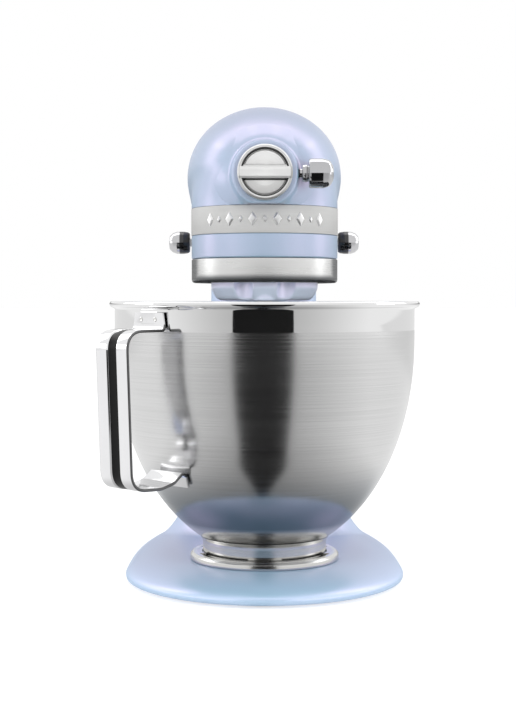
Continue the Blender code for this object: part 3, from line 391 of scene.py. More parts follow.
def ray(angle, radius, z):
    return (radius * sin(angle), COLUMN_Y - radius * cos(angle), z)


def base_angles(count):
    """Directions, seen from the column, of points spread evenly round the base's outline."""
    angles = []
    for k in range(count):
        turn = tau * k / count
        deep = power(cos(turn), 1.0 if cos(turn) > 0 else 2 / BASE_REAR_POWER)
        y = -deep * (BASE_FRONT if deep > 0 else BASE_REAR)
        x = BASE_HALF * power(sin(turn), 1.0 if cos(turn) > 0 else 2 / BASE_REAR_POWER)
        angles.append(atan2(x, COLUMN_Y - y) % tau)
    return angles


def bowl_radius(z):
    return BOWL_R * sqrt(1 - (max(BOWL_ROUND_Z - z, 0.0) / BOWL_DEPTH) ** BOWL_POWER)


# ---- materials: places in their masks are metres, as the coordinates are ----

BLACK = (0.012, 0.012, 0.012)
DEEP_SHADE = (0.10, 0.105, 0.11)
GROOVE_R, BAR_FOOT_UP, LINE_HALF, BAR_REACH = 0.0157, -0.0049, 0.0006, 0.0162
HUB_RIM_INNER, HUB_RIM_OUTER = 0.0168, 0.0174
COLLAR_X, COLLAR_END_X = 0.0660, 0.0668
GRIP_MIDDLE_Z, GRIP_HALF, GRIP_ROUND, GRIP_INSIDE = 0.13, 0.0387, 0.0126, 0.121
CHANNEL_HALF, STRAP_EDGE = 0.0043, 0.0154
POLISH_LOW, POLISH_HIGH = 0.1802, 0.1812


class Graph:
    """A node tree, with short calls for the nodes used below."""

    def __init__(self, tree, coordinates):
        self.tree = tree
        self.coords = tree.nodes.new("ShaderNodeTexCoord").outputs[coordinates]

    def feed(self, node, values):
        """Links outputs to a node's first inputs in turn, or sets those inputs to numbers."""
        for socket, value in zip(node.inputs, values):
            self.plug(socket, value)
        return node.outputs[0]

    def plug(self, socket, value):
        if isinstance(value, bpy.types.NodeSocket):
            self.tree.links.new(value, socket)
        else:
            socket.default_value = value

    def set(self, node, values):
        for name, value in values.items():
            self.plug(node.inputs[name.replace("_", " ")], value)

    def add(self, kind, output=0, **values):
        settings = {key: values.pop(key) for key in list(values) if key[0].islower()}
        node = self.tree.nodes.new(kind)
        for key, value in settings.items():
            setattr(node, key, value)
        self.set(node, values)
        return node.outputs[output]

    def math(self, operation, *values):
        node = self.tree.nodes.new("ShaderNodeMath")
        node.operation = operation
        return self.feed(node, values)

    def times(self, a, b):
        return self.math("MULTIPLY", a, b)

    def plus(self, a, b):
        return self.math("ADD", a, b)

    def minus(self, a, b):
        return self.math("SUBTRACT", a, b)

    def most(self, a, b):
        return self.math("MAXIMUM", a, b)

    def size(self, value):
        return self.math("ABSOLUTE", value)

    def over(self, value, limit):
        return self.math("GREATER_THAN", value, limit)

    def under(self, value, limit):
        return self.math("LESS_THAN", value, limit)

    def distance(self, a, b):
        return self.math("SQRT", self.plus(self.times(a, a), self.times(b, b)))

    def range(self, value, low, high, to_low, to_high, smooth=False):
        node = self.tree.nodes.new("ShaderNodeMapRange")
        node.interpolation_type = "SMOOTHSTEP" if smooth else "LINEAR"
        return self.feed(node, (value, low, high, to_low, to_high))

    def blend(self, share, low, high):
        """Colour low where share is 0 and high where it is 1."""
        node = self.tree.nodes.new("ShaderNodeMix")
        node.data_type = "RGBA"
        self.plug(node.inputs[0], share)
        for socket, value in ((node.inputs[6], low), (node.inputs[7], high)):
            self.plug(socket, value if isinstance(value, bpy.types.NodeSocket) else (*value, 1.0))
        return node.outputs[2]

    def stretched(self, scale):
        """The coordinates scaled by a vector."""
        return self.add("ShaderNodeMapping", vector_type="POINT", Vector=self.coords, Scale=scale)

    def noise(self, scale, detail=2.0, vector=None):
        return self.add("ShaderNodeTexNoise", Vector=vector or self.coords, Scale=scale, Detail=detail)

    def axes(self):
        node = self.tree.nodes.new("ShaderNodeSeparateXYZ")
        self.tree.links.new(self.coords, node.inputs[0])
        return node.outputs


class Nodes(Graph):
    """A material, as the tree round its Principled shader."""

    def __init__(self, name, **values):
        self.material = bpy.data.materials.new(name)
        self.material.use_nodes = True
        super().__init__(self.material.node_tree, "Object")
        self.shader = self.tree.nodes["Principled BSDF"]
        self.look(**values)

    def look(self, **values):
        self.set(self.shader, values)

    def bump(self, height, strength, distance):
        self.look(Normal=self.add("ShaderNodeBump", Height=height, Strength=strength, Distance=distance))

    def grain_round(self, axis):
        self.look(Tangent=self.add("ShaderNodeTangent", direction_type="RADIAL", axis=axis))


def paint(name, deep, light):
    """Pearlescent enamel: a blue coat with mica that shines lavender, under a soft clear coat."""
    n = Nodes(name, IOR=2.1, Coat_Weight=0.08, Coat_Roughness=0.12, Coat_IOR=1.4,
              Specular_IOR_Level=1.0, Specular_Tint=(1.0, 0.69, 0.97, 1.0))
    flake, cloud = n.noise(2600.0, 1.0), n.noise(14.0, 2.0)
    tone = n.plus(n.times(flake, 0.7), n.times(cloud, 0.3))
    colour = n.blend(n.range(tone, 0.35, 0.65, 0.0, 1.0), deep, light)
    n.look(Base_Color=colour, Roughness=n.range(cloud, 0.3, 0.7, 0.33, 0.38))
    n.bump(n.plus(n.times(flake, 0.25), n.noise(240.0, 1.0)), 0.08, 0.0002)
    return n.material


def brushed(name, colour, roughness, scale, anisotropic=0.5, depth=0.1, metallic=1.0, shade=None):
    """Metal with fine lines along one way; scale stretches the noise across them."""
    n = Nodes(name, Metallic=metallic, Anisotropic=anisotropic)
    if anisotropic:
        n.grain_round("Z")
    lines, broad = n.noise(1.0, 3.0, n.stretched(scale)), n.noise(18.0, 2.0)
    dark = [c * 0.93 for c in colour]
    shown = n.blend(n.range(lines, 0.3, 0.7, 0.0, 1.0), dark, colour)
    if shade:
        shown = n.blend(shade(n), shown, DEEP_SHADE)
    spread = n.plus(n.range(lines, 0.3, 0.7, -0.04, 0.04), n.range(broad, 0.3, 0.7, -0.02, 0.02))
    n.look(Base_Color=shown, Roughness=n.plus(spread, roughness))
    n.bump(lines, depth, 0.0001)
    return n.material


def ring_shade(n):
    """How far the drip ring is in shade: nearly all at its rolled lower edge, most at its two ends."""
    x, _, z = n.axes()
    ends = n.range(n.size(x), 0.0455, 0.0490, 0.0, 0.8, smooth=True)
    return n.most(n.range(z, 0.2165, 0.2205, 0.97, 0.0, smooth=True), ends)


def disc_metal():
    """Satin metal turned about the hub's axis, so its lines are circles round it, with painted shade in its
    groove, under its bar and on its rim.
    """
    n = Nodes("hub_satin", Metallic=0.75, Anisotropic=0.75)
    n.grain_round("Y")
    x, y, z = n.axes()
    up = n.minus(z, HUB_Z * MM)
    far = n.distance(x, up)
    lines = n.noise(1.0, 3.0, n.add("ShaderNodeCombineXYZ", X=n.times(far, 2600.0)))
    below_bar = n.over(y, (HUB_FRONT_Y - 8.8 + BOWL_Y) * MM)
    sunk = n.over(y, (HUB_FRONT_Y - 7.0 + BOWL_Y) * MM)
    # Painted shade: near black in the groove round the sunk disc and in a thin line under the bar, and a
    # darker grey on the rim's face.
    groove_shade = n.times(n.math("COMPARE", far, GROOVE_R, LINE_HALF), below_bar)
    foot = n.times(n.math("COMPARE", up, BAR_FOOT_UP, LINE_HALF), n.under(far, BAR_REACH))
    bright = n.blend(lines, (0.62, 0.62, 0.615), (0.74, 0.74, 0.735))
    rim = n.range(far, HUB_RIM_INNER, HUB_RIM_OUTER, 0.0, 0.8, smooth=True)
    bright = n.blend(rim, bright, (0.42, 0.42, 0.415))
    dark = n.most(groove_shade, n.times(foot, sunk))
    n.look(Base_Color=n.blend(dark, bright, (0.05, 0.05, 0.05)))
    n.look(Roughness=n.range(lines, 0.3, 0.7, 0.27, 0.34))
    n.bump(lines, 0.12, 0.0001)
    return n.material


def chrome(name, deep, light, rough=0.03, mask=None, shade_black=BLACK, dull=0.0, wavy=True):
    """Polished plate with faint smudges, from deep to light grey, and painted black shade, duller, where
    masked.
    """
    n = Nodes(name, Metallic=1.0)
    smudge = n.noise(60.0, 4.0)
    colour = n.blend(smudge, (deep, deep, deep + 0.01), (light, light, light + 0.01))
    roughness = n.range(smudge, 0.35, 0.7, rough, rough + 0.04)
    if mask:
        dark = mask(n)
        colour = n.blend(dark, colour, shade_black)
        roughness = n.plus(roughness, n.times(dark, dull))
    n.look(Base_Color=colour, Roughness=roughness)
    if wavy:
        n.bump(n.noise(9.0, 1.0), 0.02, 0.0005)
    return n.material


def knob_collar_painted_shade(n):
    """The inner collar of a side knob, which faces the head; it is painted near black as painted shade."""
    return n.range(n.size(n.axes()[0]), COLLAR_X, COLLAR_END_X, 1.0, 0.0)


def strap_painted_shade(n):
    """Painted shade down the channel in the outer face of the handle's grip, and painted dark reflections
    along the edges of its strap.
    """
    x, y, z = n.axes()
    y = n.minus(y, BOWL_Y * MM)
    out = n.plus(n.times(x, cos(HANDLE_ANGLE)), n.times(y, sin(HANDLE_ANGLE)))
    side = n.size(n.minus(n.times(y, cos(HANDLE_ANGLE)), n.times(x, sin(HANDLE_ANGLE))))
    grip = n.minus(out, n.range(z, 0.078, 0.1815, 0.124, 0.128))
    rise = n.minus(n.size(n.minus(z, GRIP_MIDDLE_Z)), GRIP_HALF)
    far = n.distance(n.most(grip, 0.0), n.most(rise, 0.0))
    outside = n.times(n.over(far, GRIP_ROUND), n.over(out, GRIP_INSIDE))
    return n.most(n.times(outside, n.under(side, CHANNEL_HALF)), n.times(n.over(side, STRAP_EDGE), 0.8))


def bowl_metal():
    """Steel with fine lines round the bowl, a polished band below the rim, and its lower part painted dark
    bluish grey as a painted reflection of the shaded base.
    """
    n = Nodes("bowl_steel", Metallic=1.0, Anisotropic=0.45)
    n.grain_round("Z")
    z = n.axes()[2]
    polished = n.range(z, POLISH_LOW, POLISH_HIGH, 0.0, 1.0, smooth=True)
    lines = n.noise(1.0, 4.0, n.stretched((9.0, 9.0, 2300.0)))
    cloud = n.noise(11.0, 3.0, n.stretched((1.0, 1.0, 2.5)))
    satin = n.plus(n.range(lines, 0.25, 0.75, 0.15, 0.25), n.range(cloud, 0.3, 0.7, -0.015, 0.015))
    bright = n.blend(n.range(lines, 0.3, 0.7, 0.0, 1.0), (0.62, 0.62, 0.62), (0.70, 0.70, 0.70))
    # Painted reflection: the lower bowl, fully below 52 mm and fading out by 94 mm, is painted dark bluish
    # grey for the shaded base; the foot below 40 mm keeps the bright steel.
    above, foot = n.range(z, 0.052, 0.094, 0.0, 1.0, smooth=True), n.range(z, 0.040, 0.0455, 1.0, 0.0)
    bright = n.blend(n.most(above, foot), (0.20, 0.225, 0.25), bright)
    n.look(Base_Color=n.blend(polished, bright, (0.80, 0.80, 0.80)))
    n.look(Roughness=n.range(polished, 0.0, 1.0, satin, 0.05))
    n.bump(n.times(lines, n.minus(1.0, polished)), 0.05, 0.00006)
    return n.material


def grainy(name, colour, roughness, scale, depth):
    """Plastic, rubber or carbon with a fine grain and a faint variation of colour."""
    n = Nodes(name)
    grain, cloud = n.noise(scale, 3.0), n.noise(30.0, 2.0)
    light = [min(c * 1.25 + 0.004, 1.0) for c in colour]
    rough = n.range(grain, 0.3, 0.7, roughness - 0.06, roughness + 0.06)
    n.look(Base_Color=n.blend(cloud, colour, light), Roughness=rough)
    n.bump(grain, depth, 0.0002)
    return n.material


def winding():
    """Varnished copper wire, laid side by side."""
    n = Nodes("copper_winding", Metallic=1.0, Coat_Weight=0.5, Coat_Roughness=0.1)
    wires = n.add("ShaderNodeTexWave", Vector=n.coords, Scale=260.0, Distortion=0.6)
    n.look(Base_Color=n.blend(wires, (0.34, 0.13, 0.05), (0.78, 0.42, 0.2)))
    n.look(Roughness=n.range(wires, 0.0, 1.0, 0.42, 0.28))
    n.bump(wires, 0.5, 0.0005)
    return n.material


def circuit():
    """Green board with paler tracks."""
    n = Nodes("circuit_board", Coat_Weight=0.4, Coat_Roughness=0.2, Roughness=0.4)
    tracks = n.add("ShaderNodeTexBrick", output=1, Vector=n.coords, Scale=160.0)
    n.look(Base_Color=n.blend(tracks, (0.02, 0.13, 0.05), (0.06, 0.3, 0.12)))
    n.bump(tracks, 0.2, 0.0001)
    return n.material


# Stretch of the noise that draws each kind of line, along X, Y and Z
ROLLED, SPUN, TURNED = (30.0, 30.0, 2600.0), (12.0, 12.0, 2200.0), (500.0, 500.0, 1400.0)

# The same pearl paint in three brightnesses, as lit and shaded copies: darkest on the head, lighter on the
# base and column, and much lighter on the planetary, which hangs in shade under the drip ring.
PAINT = paint("pearl_paint", (0.165, 0.30, 0.37), (0.185, 0.33, 0.405))
BASE_PAINT_LIGHTENED = paint("base_pearl_paint_lightened", (0.30, 0.475, 0.61), (0.33, 0.51, 0.65))
PAINT_LIGHTENED_IN_SHADE = paint("pearl_paint_lightened_in_shade", (0.68, 0.80, 0.95), (0.72, 0.84, 0.99))
TRIM = brushed("satin_trim", (0.39, 0.39, 0.386), 0.5, ROLLED, anisotropic=0.2, metallic=0.15)
BAND = brushed("satin_band", (0.62, 0.62, 0.615), 0.3, ROLLED, metallic=0.8, shade=ring_shade)
RELIEF = brushed("bright_relief", (0.93, 0.93, 0.93), 0.45, (60.0, 60.0, 60.0), anisotropic=0.0)
HUB = disc_metal()
# Painted shade: the same chrome in three brightnesses, darkest on the thumbscrew, then the side knobs,
# lightest on the handle.
CHROME_DARKENED = chrome("chrome_darkened", 0.46, 0.54)
KNOB_CHROME = chrome("chrome_knob", 0.52, 0.60, 0.04, knob_collar_painted_shade, (0.07, 0.07, 0.072), 0.1, wavy=False)
STRAP_CHROME = chrome("chrome_strap", 0.80, 0.86, mask=strap_painted_shade, dull=0.3)
BOWL = bowl_metal()
POLISHED = brushed("polished_steel", (0.66, 0.655, 0.64), 0.2, SPUN, anisotropic=0.3, depth=0.03)
STEEL = brushed("machined_steel", (0.55, 0.55, 0.56), 0.3, TURNED, anisotropic=0.0)
BRONZE = brushed("machined_bronze", (0.62, 0.42, 0.2), 0.32, TURNED, anisotropic=0.0)
CAST = brushed("burnished_aluminium", (0.72, 0.72, 0.72), 0.34, (160.0, 500.0, 160.0), 0.0, 0.2)
COPPER = winding()
RUBBER = grainy("rubber", (0.025, 0.025, 0.026), 0.72, 900.0, 0.3)
PLASTIC = grainy("moulded_plastic", (0.045, 0.045, 0.05), 0.42, 1500.0, 0.15)
CARBON = grainy("pressed_carbon", (0.03, 0.03, 0.032), 0.6, 2200.0, 0.4)
BOARD = circuit()


# ---- head ----


def head_shell(low, recessed):
    """The upper casing as one closed shell: outer skin, inner skin and the rim that joins them."""
    if recessed:
        outer = [at_height(offset(head_outline(z), -BAND_DEPTH), z) for z in (low, BAND_TOP)]
    else:
        levels = [low + (BAND_TOP - low) * i / 4 for i in range(4)]
        outer = [at_height(head_outline(z), z) for z in levels]
    climb = [BAND_TOP] + [BAND_TOP + 1.4 * i for i in range(1, 42)]
    turn = asin((climb[-1] - DOME_Z) / (HEAD_TOP - DOME_Z))
    climb += [DOME_Z + (HEAD_TOP - DOME_Z) * sin(turn + (pi / 2 - turn) * i / 26) for i in range(1, 26)]
    outer += [at_height(head_outline(z), z) for z in climb]
    centre = Vector((0.0, HEAD_MID_Y, 280.0))
    inner = []
    for z in [low] + climb[1::3]:
        loop = []
        for x, y in head_outline(z):
            away = Vector((x, y, z)) - centre
            height = low if z == low else centre.z + away.z * 0.935
            loop.append((away.x * 0.92, centre.y + away.y * 0.97, height))
        inner.append(loop)
    count = len(outer[0])
    points, faces = loft(outer + inner[::-1], closed=True, caps=False)
    crown = (len(outer) - 1) * count
    faces = [f for f in faces if not (crown <= f[0] < crown + count <= f[2])]
    for start, height in ((crown, HEAD_TOP), (crown + count, HEAD_TOP - 5.0)):
        faces += [(start + k, start + (k + 1) % count, len(points)) for k in range(count)]
        points.append((0.0, HEAD_MID_Y, height))
    return solid("shell", (points, faces))


def sliced(mesh, point, normal):
    """Removes what lies beyond a plane and closes the cut."""
    shape = bmesh.new()
    shape.from_mesh(mesh)
    whole, at = shape.verts[:] + shape.edges[:] + shape.faces[:], place(point)
    bmesh.ops.bisect_plane(shape, geom=whole, plane_co=at, plane_no=normal, clear_outer=True)
    bmesh.ops.holes_fill(shape, edges=[e for e in shape.edges if e.is_boundary])
    bmesh.ops.recalc_face_normals(shape, faces=shape.faces)
    shape.to_mesh(mesh)
    shape.free()


def keep_side(made, y, front):
    """Keeps the object's part in front of this y, or the part behind it."""
    sliced(made.data, (0, y, 0), (0, 1 if front else -1, 0))
    return made


def clipped(shape, low):
    """The part of a shape above this height, closed with a flat underside."""
    made = solid("tool", shape)
    sliced(made.data, (0, 0, low), (0, 0, -1))
    points = [(v.co.x / MM, v.co.y / MM - BOWL_Y, v.co.z / MM) for v in made.data.vertices]
    faces = [tuple(face.vertices) for face in made.data.polygons]
    bpy.data.objects.remove(made)
    return points, faces


def even_normals(made):
    made.modifiers.new("normals", "WEIGHTED_NORMAL").keep_sharp = True
    return made


def motor_housing():
    made = keep_side(head_shell(CASE_SPLIT + GAP, True), COVER_SPLIT_Y, True)
    made.name = "dome_casing"
    boss = [(HUB_BORE_R, -6, 0), (17, -6, 0), (17, 0, 0), (36, 0, 0), (29, 9.5, 0), (24, 13.6, 6)]
    boss += [(HUB_R, 21.0, 3.0), (HUB_R, 26.0, HUB_ROUND), (HUB_BORE_R, 26.0, 0)]
    lathe = facing(turned(fillet(boss, steps=10), 160), (0, -1, 0))
    lathe = clipped(moved(lathe, 0, HUB_FRONT_Y + 26.0, HUB_Z), BAND_TOP + 0.02)
    join(made, lathe)
    bore = moved(facing(rod(HUB_BORE_R - 0.2, 0, 17, 96), (0, -1, 0)), 0, -44.0, HUB_Z)
    cut(made, bore, crossways(BRUSH_CAP_R + GAP, -80, 80, BRUSH_Y, MOTOR_Z))
    cut(made, crossways(3.6, 5, 45, KNOB_Y, HUB_Z, 32))
    even_normals(dress(made, "head", PAINT, ["motor_housing"], sharp=30))


def end_cover():
    made = keep_side(head_shell(HEAD_BOTTOM, False), COVER_SPLIT_Y + GAP, False)
    made.name = "rear_cover"
    dress(made, "head", PAINT, ["end_cover"])


def lower_gearcase():
    edge, loops = 1.2, []
    for a in (0, pi / 6, pi / 3, pi / 2):
        skin = offset(head_outline(HEAD_BOTTOM), -edge * (1 - sin(a)))
        loops.append(at_height(skin, HEAD_BOTTOM + edge * (1 - cos(a))))
    loops += [at_height(head_outline(z), z) for z in (239.0, BAND_LOW - 0.4)]
    loops.append(at_height(offset(head_outline(BAND_LOW), -0.4), BAND_LOW))
    recess = offset(head_outline(BAND_LOW), -BAND_DEPTH)
    loops += [at_height(recess, BAND_LOW), at_height(recess, CASE_SPLIT)]
    made = keep_side(solid("painted_strip", loft(loops)), COVER_SPLIT_Y, True)
    inner = [(x, min(y, COVER_SPLIT_Y - 8.0)) for x, y in offset(head_outline(BAND_LOW), -5.0)]
    rear = block((-45, 56, HEAD_BOTTOM + FLOOR), (45, COVER_SPLIT_Y - 9.0, 255.0))
    cut(made, rod(RING_SEAT_R, HEAD_BOTTOM - 5, 249.5, 160), rear)
    cut(made, prism(inner, 253.5, CASE_SPLIT + 5))
    cut(made, rod(BUSH_R + GAP, 245, 257))
    join(made, crossways(9.5, -LUG_HALF, LUG_HALF, HINGE_Y, HINGE_Z))
    join(made, block((-LUG_HALF, HINGE_Y - 9, HINGE_Z), (LUG_HALF, HINGE_Y + 9, HEAD_BOTTOM + 2)))
    cut(made, crossways(PIN_R + PIN_PLAY, -20, 20, HINGE_Y, HINGE_Z))
    join(made, moved(rod(5.0, HEAD_BOTTOM + 2, LEVER_Z - 2.5), SPEED_PIVOT_X, SPEED_PIVOT_Y))
    cut(made, block((30, LEVER_Y - 5, LEVER_Z - 4.5), (70, LEVER_Y + 33, LEVER_Z + 4.5)))
    cut(made, block((-70, LEVER_Y - 5, LEVER_Z - 4.5), (-40, LEVER_Y + LOCK_TRAVEL + 5, LEVER_Z + 4.5)))
    cut(made, block((POST_X - 5, POST_Y - 2, 225), (POST_X + 5, POST_Y + 16, 240)))
    even_normals(dress(made, "head", PAINT, ["lower_gearcase"], sharp=30))


def band_outline(distance):
    end = bisect(pi / 2, pi, lambda angle: head_point(angle, BAND_TOP)[1] < COVER_SPLIT_Y - 1)
    angles = [a for a in HALF_ANGLES if a < end - 0.01] + [end]
    half = [head_point(a, BAND_TOP) for a in angles]
    return offset([(-x, y) for x, y in reversed(half[1:])] + half, distance)


def trim_band():
    """Satin strip round the head with eased edges, and a row of raised lozenges on its front."""
    low, high, back, proud, ease = BAND_LOW + 0.2, BAND_TOP - 0.2, -1.2, 0.25, 0.35
    flat, bend = proud - ease, ease * 0.3
    section = [(back, low), (flat, low), (proud - bend, low + bend), (proud, low + ease)]
    section += [(proud, high - ease), (proud - bend, high - bend), (flat, high), (back, high)]
    lines = [at_height(band_outline(out), z) for out, z in section]
    loops = [[line[i] for line in lines] for i in range(1, len(lines[0]) - 1)]
    made = solid("trim_strip", loft(loops))
    for side in (-1, 1):
        length = 33 if side > 0 else LOCK_TRAVEL + 5
        low_x, high_x = (30, 70) if side > 0 else (-70, -30)
        cut(made, block((low_x, LEVER_Y - 5, LEVER_Z - 5), (high_x, LEVER_Y + length, LEVER_Z + 4.5)))
    dress(made, "head", TRIM, ["trim_band"], sharp=35)
    lozenges, radius = [], FRONT_R + 0.1
    middle, count, pitch = (BAND_LOW + BAND_TOP) / 2, 11, radians(9.2)
    for i in range(count):
        turn = (i - (count - 1) / 2) * pitch
        wide, tall = (3.2, 5.0) if i % 2 == 0 else (1.7, 2.6)
        rings = []
        for grow, lift in ((1.0, -0.5), (1.0, 0.2), (0.96, 0.35), (0.62, 1.0), (0.55, 1.05)):
            tips = ((0, -tall), (wide, 0), (0, tall), (-wide, 0))
            outline = fillet([(a * grow, b * grow, 0.5) for a, b in tips], closed=True, steps=4)
            rings.append([(t, -radius - lift, middle + u) for t, u in outline])
        lozenges.append(spun(loft(rings), turn))
    relief = solid("band_lozenges", together(lozenges))
    dress(relief, "head", RELIEF, sharp=25)


def drip_ring():
    inner, low, high = 46.6, 214.0, HEAD_BOTTOM - GAP
    corners = [(inner, low, 0.4), (FRONT_R, low, 5.2), (FRONT_R, high, 0.5), (inner, high, 0)]
    made = solid("drip_collar", hoop(corners, 200, 12))
    dress(made, "head", BAND, ["drip_ring"])


def planetary():
    low = 201.5
    profile = [(0, low, 0), (34.0, low, 6.5), (38.2, 210.0, 6.0), (38.2, 216.0, 2.0), (45.6, 219.0, 1.0)]
    profile += [(45.6, 233.0, 0), (0, 233.0, 0)]
    made = solid("planetary_casting", turned(fillet(profile), 96))
    cut(made, *[moved(rod(7.0, 190, 222.0, 48), side * 15.6, -ORBIT - 8.6) for side in (-1, 1)])
    join(made, moved(rod(9.2, low - 0.3, 222.0), 0, -ORBIT))
    cut(made, rod(SHAFT_R + GAP, 190, 240), moved(rod(BEATER_SHAFT_R + GAP, 190, 240), 0, -ORBIT))
    melted(made, 0.6, 14)
    # Painted light: the planetary takes a much lighter copy of the pearl paint, for the shade it hangs in
    # under the drip ring.
    dress(made, "planetary", PAINT_LIGHTENED_IN_SHADE, ["planetary_housing"], sharp=60)


def hub_cover():
    """Cap with a turned rim, a sunk disc and a raised bar with eased edges."""
    shank = HUB_BORE_R - 0.4
    profile = [(0, -13.5, 0), (shank, -13.5, 0.8), (shank, GAP, 0), (16.2, GAP, 0.2), (18.6, 1.0, 0.6)]
    profile += [(18.6, 7.2, 0.9), (17.5, 8.5, 0.5), (16.2, 8.5, 0.5), (15.5, 5.4, 0.3), (14.9, 5.4, 0.3)]
    profile += [(14.3, 6.1, 0.3), (9.0, 6.35, 2.0), (0, 6.4, 0)]
    made = solid("hub_cap_disc", facing(turned(fillet(profile), 160), (0, -1, 0)))
    shift(made, 0, HUB_FRONT_Y, HUB_Z)
    dress(made, "hub_cap", HUB, ["hub_cover"], sharp=35)
    foot, middle, loops = 4.2, HUB_Z + 0.3, []
    corners = [(-4.6, foot, 0), (4.8, foot, 0), (4.8, 7.6, 0.7), (2.2, 9.7, 3.0), (-3.4, 10.0, 1.0)]
    section = fillet(corners + [(-4.6, 9.2, 0.6)], closed=True)
    for x, grow in ((-17.6, 0.9), (-17.3, 1.0), (-8, 1.0), (8, 1.0), (17.3, 1.0), (17.6, 0.9)):
        scaled = [(foot + (out - foot) * grow, up * grow) for up, out in section]
        loops.append([(x, HUB_FRONT_Y - out, middle + up) for out, up in scaled])
    bar = solid("hub_cap_bar", loft(loops))
    dress(bar, "hub_cap", HUB, sharp=30)


def attachment_knob():
    profile = [(0, HUB_BORE_R + 0.3, 0), (3.2, HUB_BORE_R + 0.3, 0.6), (3.2, 23.6, 0)]
    for i in range(5):
        at = 19.0 + i * 1.3
        profile[2 + 2 * i : 2 + 2 * i] = [(3.2, at, 0), (2.7, at + 0.65, 0)]
    profile += [(3.2, 25.2, 0.3), (5.6, 25.2, 0.5), (6.2, 27.4, 2.0), (5.4, 29.5, 0.4), (9.6, 29.5, 0.8)]
    profile += [(10.0, 31.0, 0.8), (10.0, 39.0, 1.2), (8.8, 43.6, 4.0), (4.6, 46.1, 4.0), (0, 46.3, 0)]
    made = solid("thumbscrew_head", facing(turned(fillet(profile, steps=8), 96), (1, 0, 0)))
    shift(made, 0, KNOB_Y, HUB_Z)
    dress(made, "thumbscrew", CHROME_DARKENED, ["attachment_knob"], sharp=35)


def side_knob(name, side, body, node):
    profile = [(0, -1.0, 0), (7.2, -1.0, 0.6), (8.3, 0.4, 0.8), (8.8, 3.8, 1.4)]
    profile += [(8.8, 9.0, 2.5), (7.6, 12.4, 3.0), (5.2, 15.0, 3.0), (0, 15.2, 0)]
    made = solid(name, facing(turned(fillet(profile, steps=8), 96), (side, 0, 0)))
    shift(made, side * KNOB_START, LEVER_Y, LEVER_Z)
    dress(made, body, KNOB_CHROME, [node], sharp=35)


def brush_caps():
    skin = max(abs(x) for x, y in head_outline(MOTOR_Z) if abs(y - BRUSH_Y) < 4.0)
    for side, word in ((-1, "left"), (1, "right")):
        line = fillet([(0, 0, 0), (BRUSH_CAP_R, 0, 0.3), (BRUSH_CAP_R, 9.0, 1.2), (0, 9.0, 0)])
        at = (side * (skin - 8.4), BRUSH_Y, MOTOR_Z)
        made = solid(f"brush_plug_{word}", moved(facing(turned(line, 96), (side, 0, 0)), *at))
        outer = side * (skin + 0.6)
        slot = block((min(outer - side * 1.6, outer + side), BRUSH_Y - 5.6, MOTOR_Z - 0.9),
                     (max(outer - side * 1.6, outer + side), BRUSH_Y + 5.6, MOTOR_Z + 0.9))
        cut(made, slot)
        dress(made, "head", PLASTIC, [f"brush_cap_{word}"], sharp=35)


# ---- base and column ----


def base_casting():
    angles = base_angles(200)
    inner = [column_radius(a) for a in angles]
    edge = [base_radius(a) for a in angles]
    seam = [skin_radius(a, SEAM - GAP) for a in angles]
    rings = list(zip(angles, seam, edge, inner))
    loops = [[ray(a, s - 1.2, SEAM - GAP) for a, s, _, _ in rings]]
    loops.append([ray(a, s - 0.4, SEAM - GAP - 0.1) for a, s, _, _ in rings])
    steps = 34
    for i in range(steps):
        share, loop = (1 - cos(pi * i / steps)) / 2, []
        for a, s, e, c in rings:
            radius = s + (e - s) * share
            loop.append(ray(a, radius, min(skin_height(a, radius, c, e), SEAM - GAP - 0.4)))
        loops.append(loop)
    rounding = [(0, EDGE_TOP), (0.05, 5.0), (0.35, 4.0), (0.9, 3.3), (1.7, 2.8)]
    for inset, z in rounding + [(2.6, BASE_BOTTOM), (9.0, BASE_BOTTOM)]:
        loops.append([ray(a, e - inset, z) for a, _, e, _ in rings])
    for share in (0.0, 0.12, 0.25, 0.5, 0.8, 0.92, 1.0):
        loop = []
        for a, s, e, c in rings:
            radius = (e - 9.5) + (s - 5.0 - (e - 9.5)) * share
            height = DECK_UNDER if share == 1.0 else min(skin_height(a, radius, c, e) - 4.5, DECK_UNDER)
            loop.append(ray(a, radius, height))
        loops.append(loop)
    made = solid("base_pedestal", loft(loops))
    bosses = []
    for x, y in FEET:
        angle, reach = atan2(x, COLUMN_Y - y), hypot(x, COLUMN_Y - y)
        bosses.append(moved(rod(11.0, 3.4, skin_height(angle, reach + 11.0) - 1.5), x, y))
    join(made, *bosses)
    cut(made, *[moved(rod(3.8, 2.0, 8.6, 32), x, y) for x, y in FEET])
    even_normals(dress(made, "pedestal", BASE_PAINT_LIGHTENED, ["base_casting"], sharp=35))


def column_outline(z, inset=0.0):
    rear = HINGE_Y + sqrt(KNUCKLE_R**2 - max(z - HINGE_Z, 0.0) ** 2)
    skin = [ray(tau * k / 160, skin_radius(tau * k / 160, z), z) for k in range(160)]
    outline = [(x, min(y, rear)) for x, y, _ in skin]
    return offset(outline, -inset) if inset else outline


